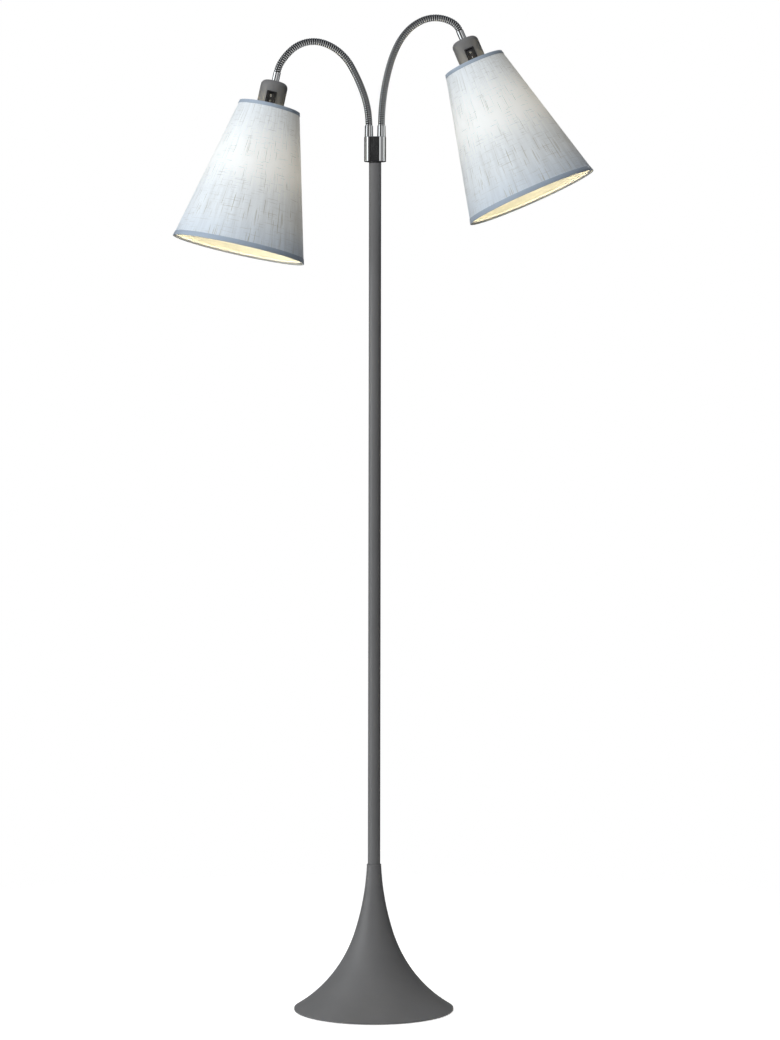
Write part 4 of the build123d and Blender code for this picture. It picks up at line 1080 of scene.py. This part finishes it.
class LAMP_OT_studio(bpy.types.Operator):
    """Sets up the camera, the pale floor, the soft lights and the room that the chrome mirrors."""
    bl_idname = "lamp.studio"
    bl_label = "Studio"

    def execute(self, context):
        scene = context.scene
        scene.view_settings.view_transform = "Standard"
        data = bpy.data.cameras.new("Camera")
        data.lens, data.shift_y = CAMERA_LENS, CAMERA_SHIFT_Y
        data.clip_end = 100
        camera = bpy.data.objects.new("Camera", data)
        camera.location = CAMERA_PLACE
        camera.rotation_euler = (math.pi / 2, CAMERA_ROLL, 0)
        scene.collection.objects.link(camera)
        scene.camera = camera
        self.floor()
        self.room(scene)
        soft_light("High_front_light", light().key, (1.6, 1.6), -32, 40, 3.0, (0, 0, 0.9), (1.0, 0.99, 0.97),
                   False)
        soft_light("Left_tall_light", light().side, (1.9, 2.6), -74, 6, 2.5, (0, 0, 0.8), (0.94, 0.98, 1.0),
                   True)
        soft_light("High_back_light", light().back, (1.8, 1.6), 176, 30, 3.0, (0, 0, 0.9), (1.0, 1.0, 1.0),
                   False)
        return {"FINISHED"}

    def floor(self):
        """A pale disc that fades into the room's white a few steps away."""
        shape = bmesh.new()
        bmesh.ops.create_circle(shape, cap_ends=True, radius=6.0, segments=96)
        material, graph, skin = new_material("Studio floor", Roughness=0.7)
        place = graph.object_place()
        grain = graph.noise(place, 40.0, 3.0)
        graph.feed(skin["Base Color"], graph.mix(grain, (0.88, 0.88, 0.88, 1), (0.92, 0.92, 0.92, 1)))
        far = graph.add("ShaderNodeVectorMath", {0: place}, operation="LENGTH").outputs["Value"]
        graph.feed(skin["Alpha"], graph.spread(far, FLOOR_FADE[0], FLOOR_FADE[1], 1.0, 0.0))
        seen = graph.add("ShaderNodeLightPath").outputs["Is Camera Ray"]
        graph.feed(skin["Emission Color"], (1, 1, 1, 1))
        graph.feed(skin["Emission Strength"], graph.math("MULTIPLY", seen, FLOOR_LIFT))
        mesh = bpy.data.meshes.new("Floor")
        shape.to_mesh(mesh)
        shape.free()
        mesh.materials.append(material)
        floor = bpy.data.objects.new("Floor", mesh)
        bpy.context.scene.collection.objects.link(floor)

    def room(self, scene):
        """White behind the lamp. What the chrome mirrors is a room with dark and bright uprights round it,
        a grey ceiling and a white floor."""
        world = bpy.data.worlds.new("Studio room")
        world.use_nodes = True
        scene.world = world
        graph = Tree(world.node_tree)
        way = graph.add("ShaderNodeTexCoord").outputs["Generated"]
        parts = graph.add("ShaderNodeSeparateXYZ", {0: way}).outputs
        back = graph.math("MULTIPLY", parts["Y"], -1.0)
        turned = graph.add("ShaderNodeCombineXYZ", {0: back, 1: parts["X"], 2: 0.0}).outputs[0]
        turn = graph.add("ShaderNodeTexGradient", {0: turned}, gradient_type="RADIAL").outputs["Fac"]
        dark, grey, dim, bright = (0.03,) * 3, (0.22,) * 3, (0.30,) * 3, (1.1,) * 3
        bands = graph.ramp(turn, ((0.0, dark), (1.0, dark), (0.23, dark), (0.25, grey), (0.41, grey),
                                  (0.43, dark), (0.503, dark), (0.509, bright), (0.542, bright),
                                  (0.555, dim), (0.79, dim), (0.81, dark)))
        ceiling = graph.spread(parts["Z"], 0.45, 0.8)
        lit = graph.mix(ceiling, bands, (0.20, 0.21, 0.23, 1))
        below = graph.spread(parts["Z"], -0.5, -0.7)
        lit = graph.mix(below, lit, (0.9, 0.9, 0.9, 1))
        ray = graph.add("ShaderNodeLightPath").outputs
        lit = graph.mix(ray["Is Diffuse Ray"], lit, graph.mix(0.8, lit, (0, 0, 0, 1)))
        lit = graph.mix(ray["Is Camera Ray"], lit, (1, 1, 1, 1))
        glow = graph.add("ShaderNodeBackground", {"Color": lit})
        graph.add("ShaderNodeOutputWorld", {"Surface": glow.outputs[0]})


OPERATORS = (LAMP_OT_finishes, LAMP_OT_felt_pad, LAMP_OT_cover_screws, LAMP_OT_grub_screws,
             LAMP_OT_goosenecks, LAMP_OT_leads, LAMP_OT_holders, LAMP_OT_rockers, LAMP_OT_bulbs,
             LAMP_OT_shades, LAMP_OT_studio)


class LAMP_PT_panel(bpy.types.Panel):
    """Lists the lamp's sizes, colours and lights, and the steps that make its pieces."""
    bl_idname = "LAMP_PT_panel"
    bl_label = "Reading floor lamp"
    bl_space_type = "VIEW_3D"
    bl_region_type = "UI"
    bl_category = "Lamp"

    def draw(self, context):
        for group in (context.scene.lamp_sizes, context.scene.lamp_colours, context.scene.lamp_light):
            box = self.layout.box()
            for name in group.bl_rna.properties.keys():
                if name not in ("rna_type", "name"):
                    box.prop(group, name)
        for operator in OPERATORS:
            self.layout.operator(operator.bl_idname)


CLASSES = (LampSizes, LampColours, LampLight) + OPERATORS + (LAMP_PT_panel,)


def register():
    for made in CLASSES:
        bpy.utils.register_class(made)
    bpy.types.Scene.lamp_sizes = PointerProperty(type=LampSizes)
    bpy.types.Scene.lamp_colours = PointerProperty(type=LampColours)
    bpy.types.Scene.lamp_light = PointerProperty(type=LampLight)


def unregister():
    del bpy.types.Scene.lamp_sizes, bpy.types.Scene.lamp_colours, bpy.types.Scene.lamp_light
    for made in reversed(CLASSES):
        bpy.utils.unregister_class(made)


def main():
    register()
    for operator in OPERATORS:
        group, name = operator.bl_idname.split(".")
        getattr(getattr(bpy.ops, group), name)()
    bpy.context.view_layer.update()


if __name__ == "__main__":
    main()
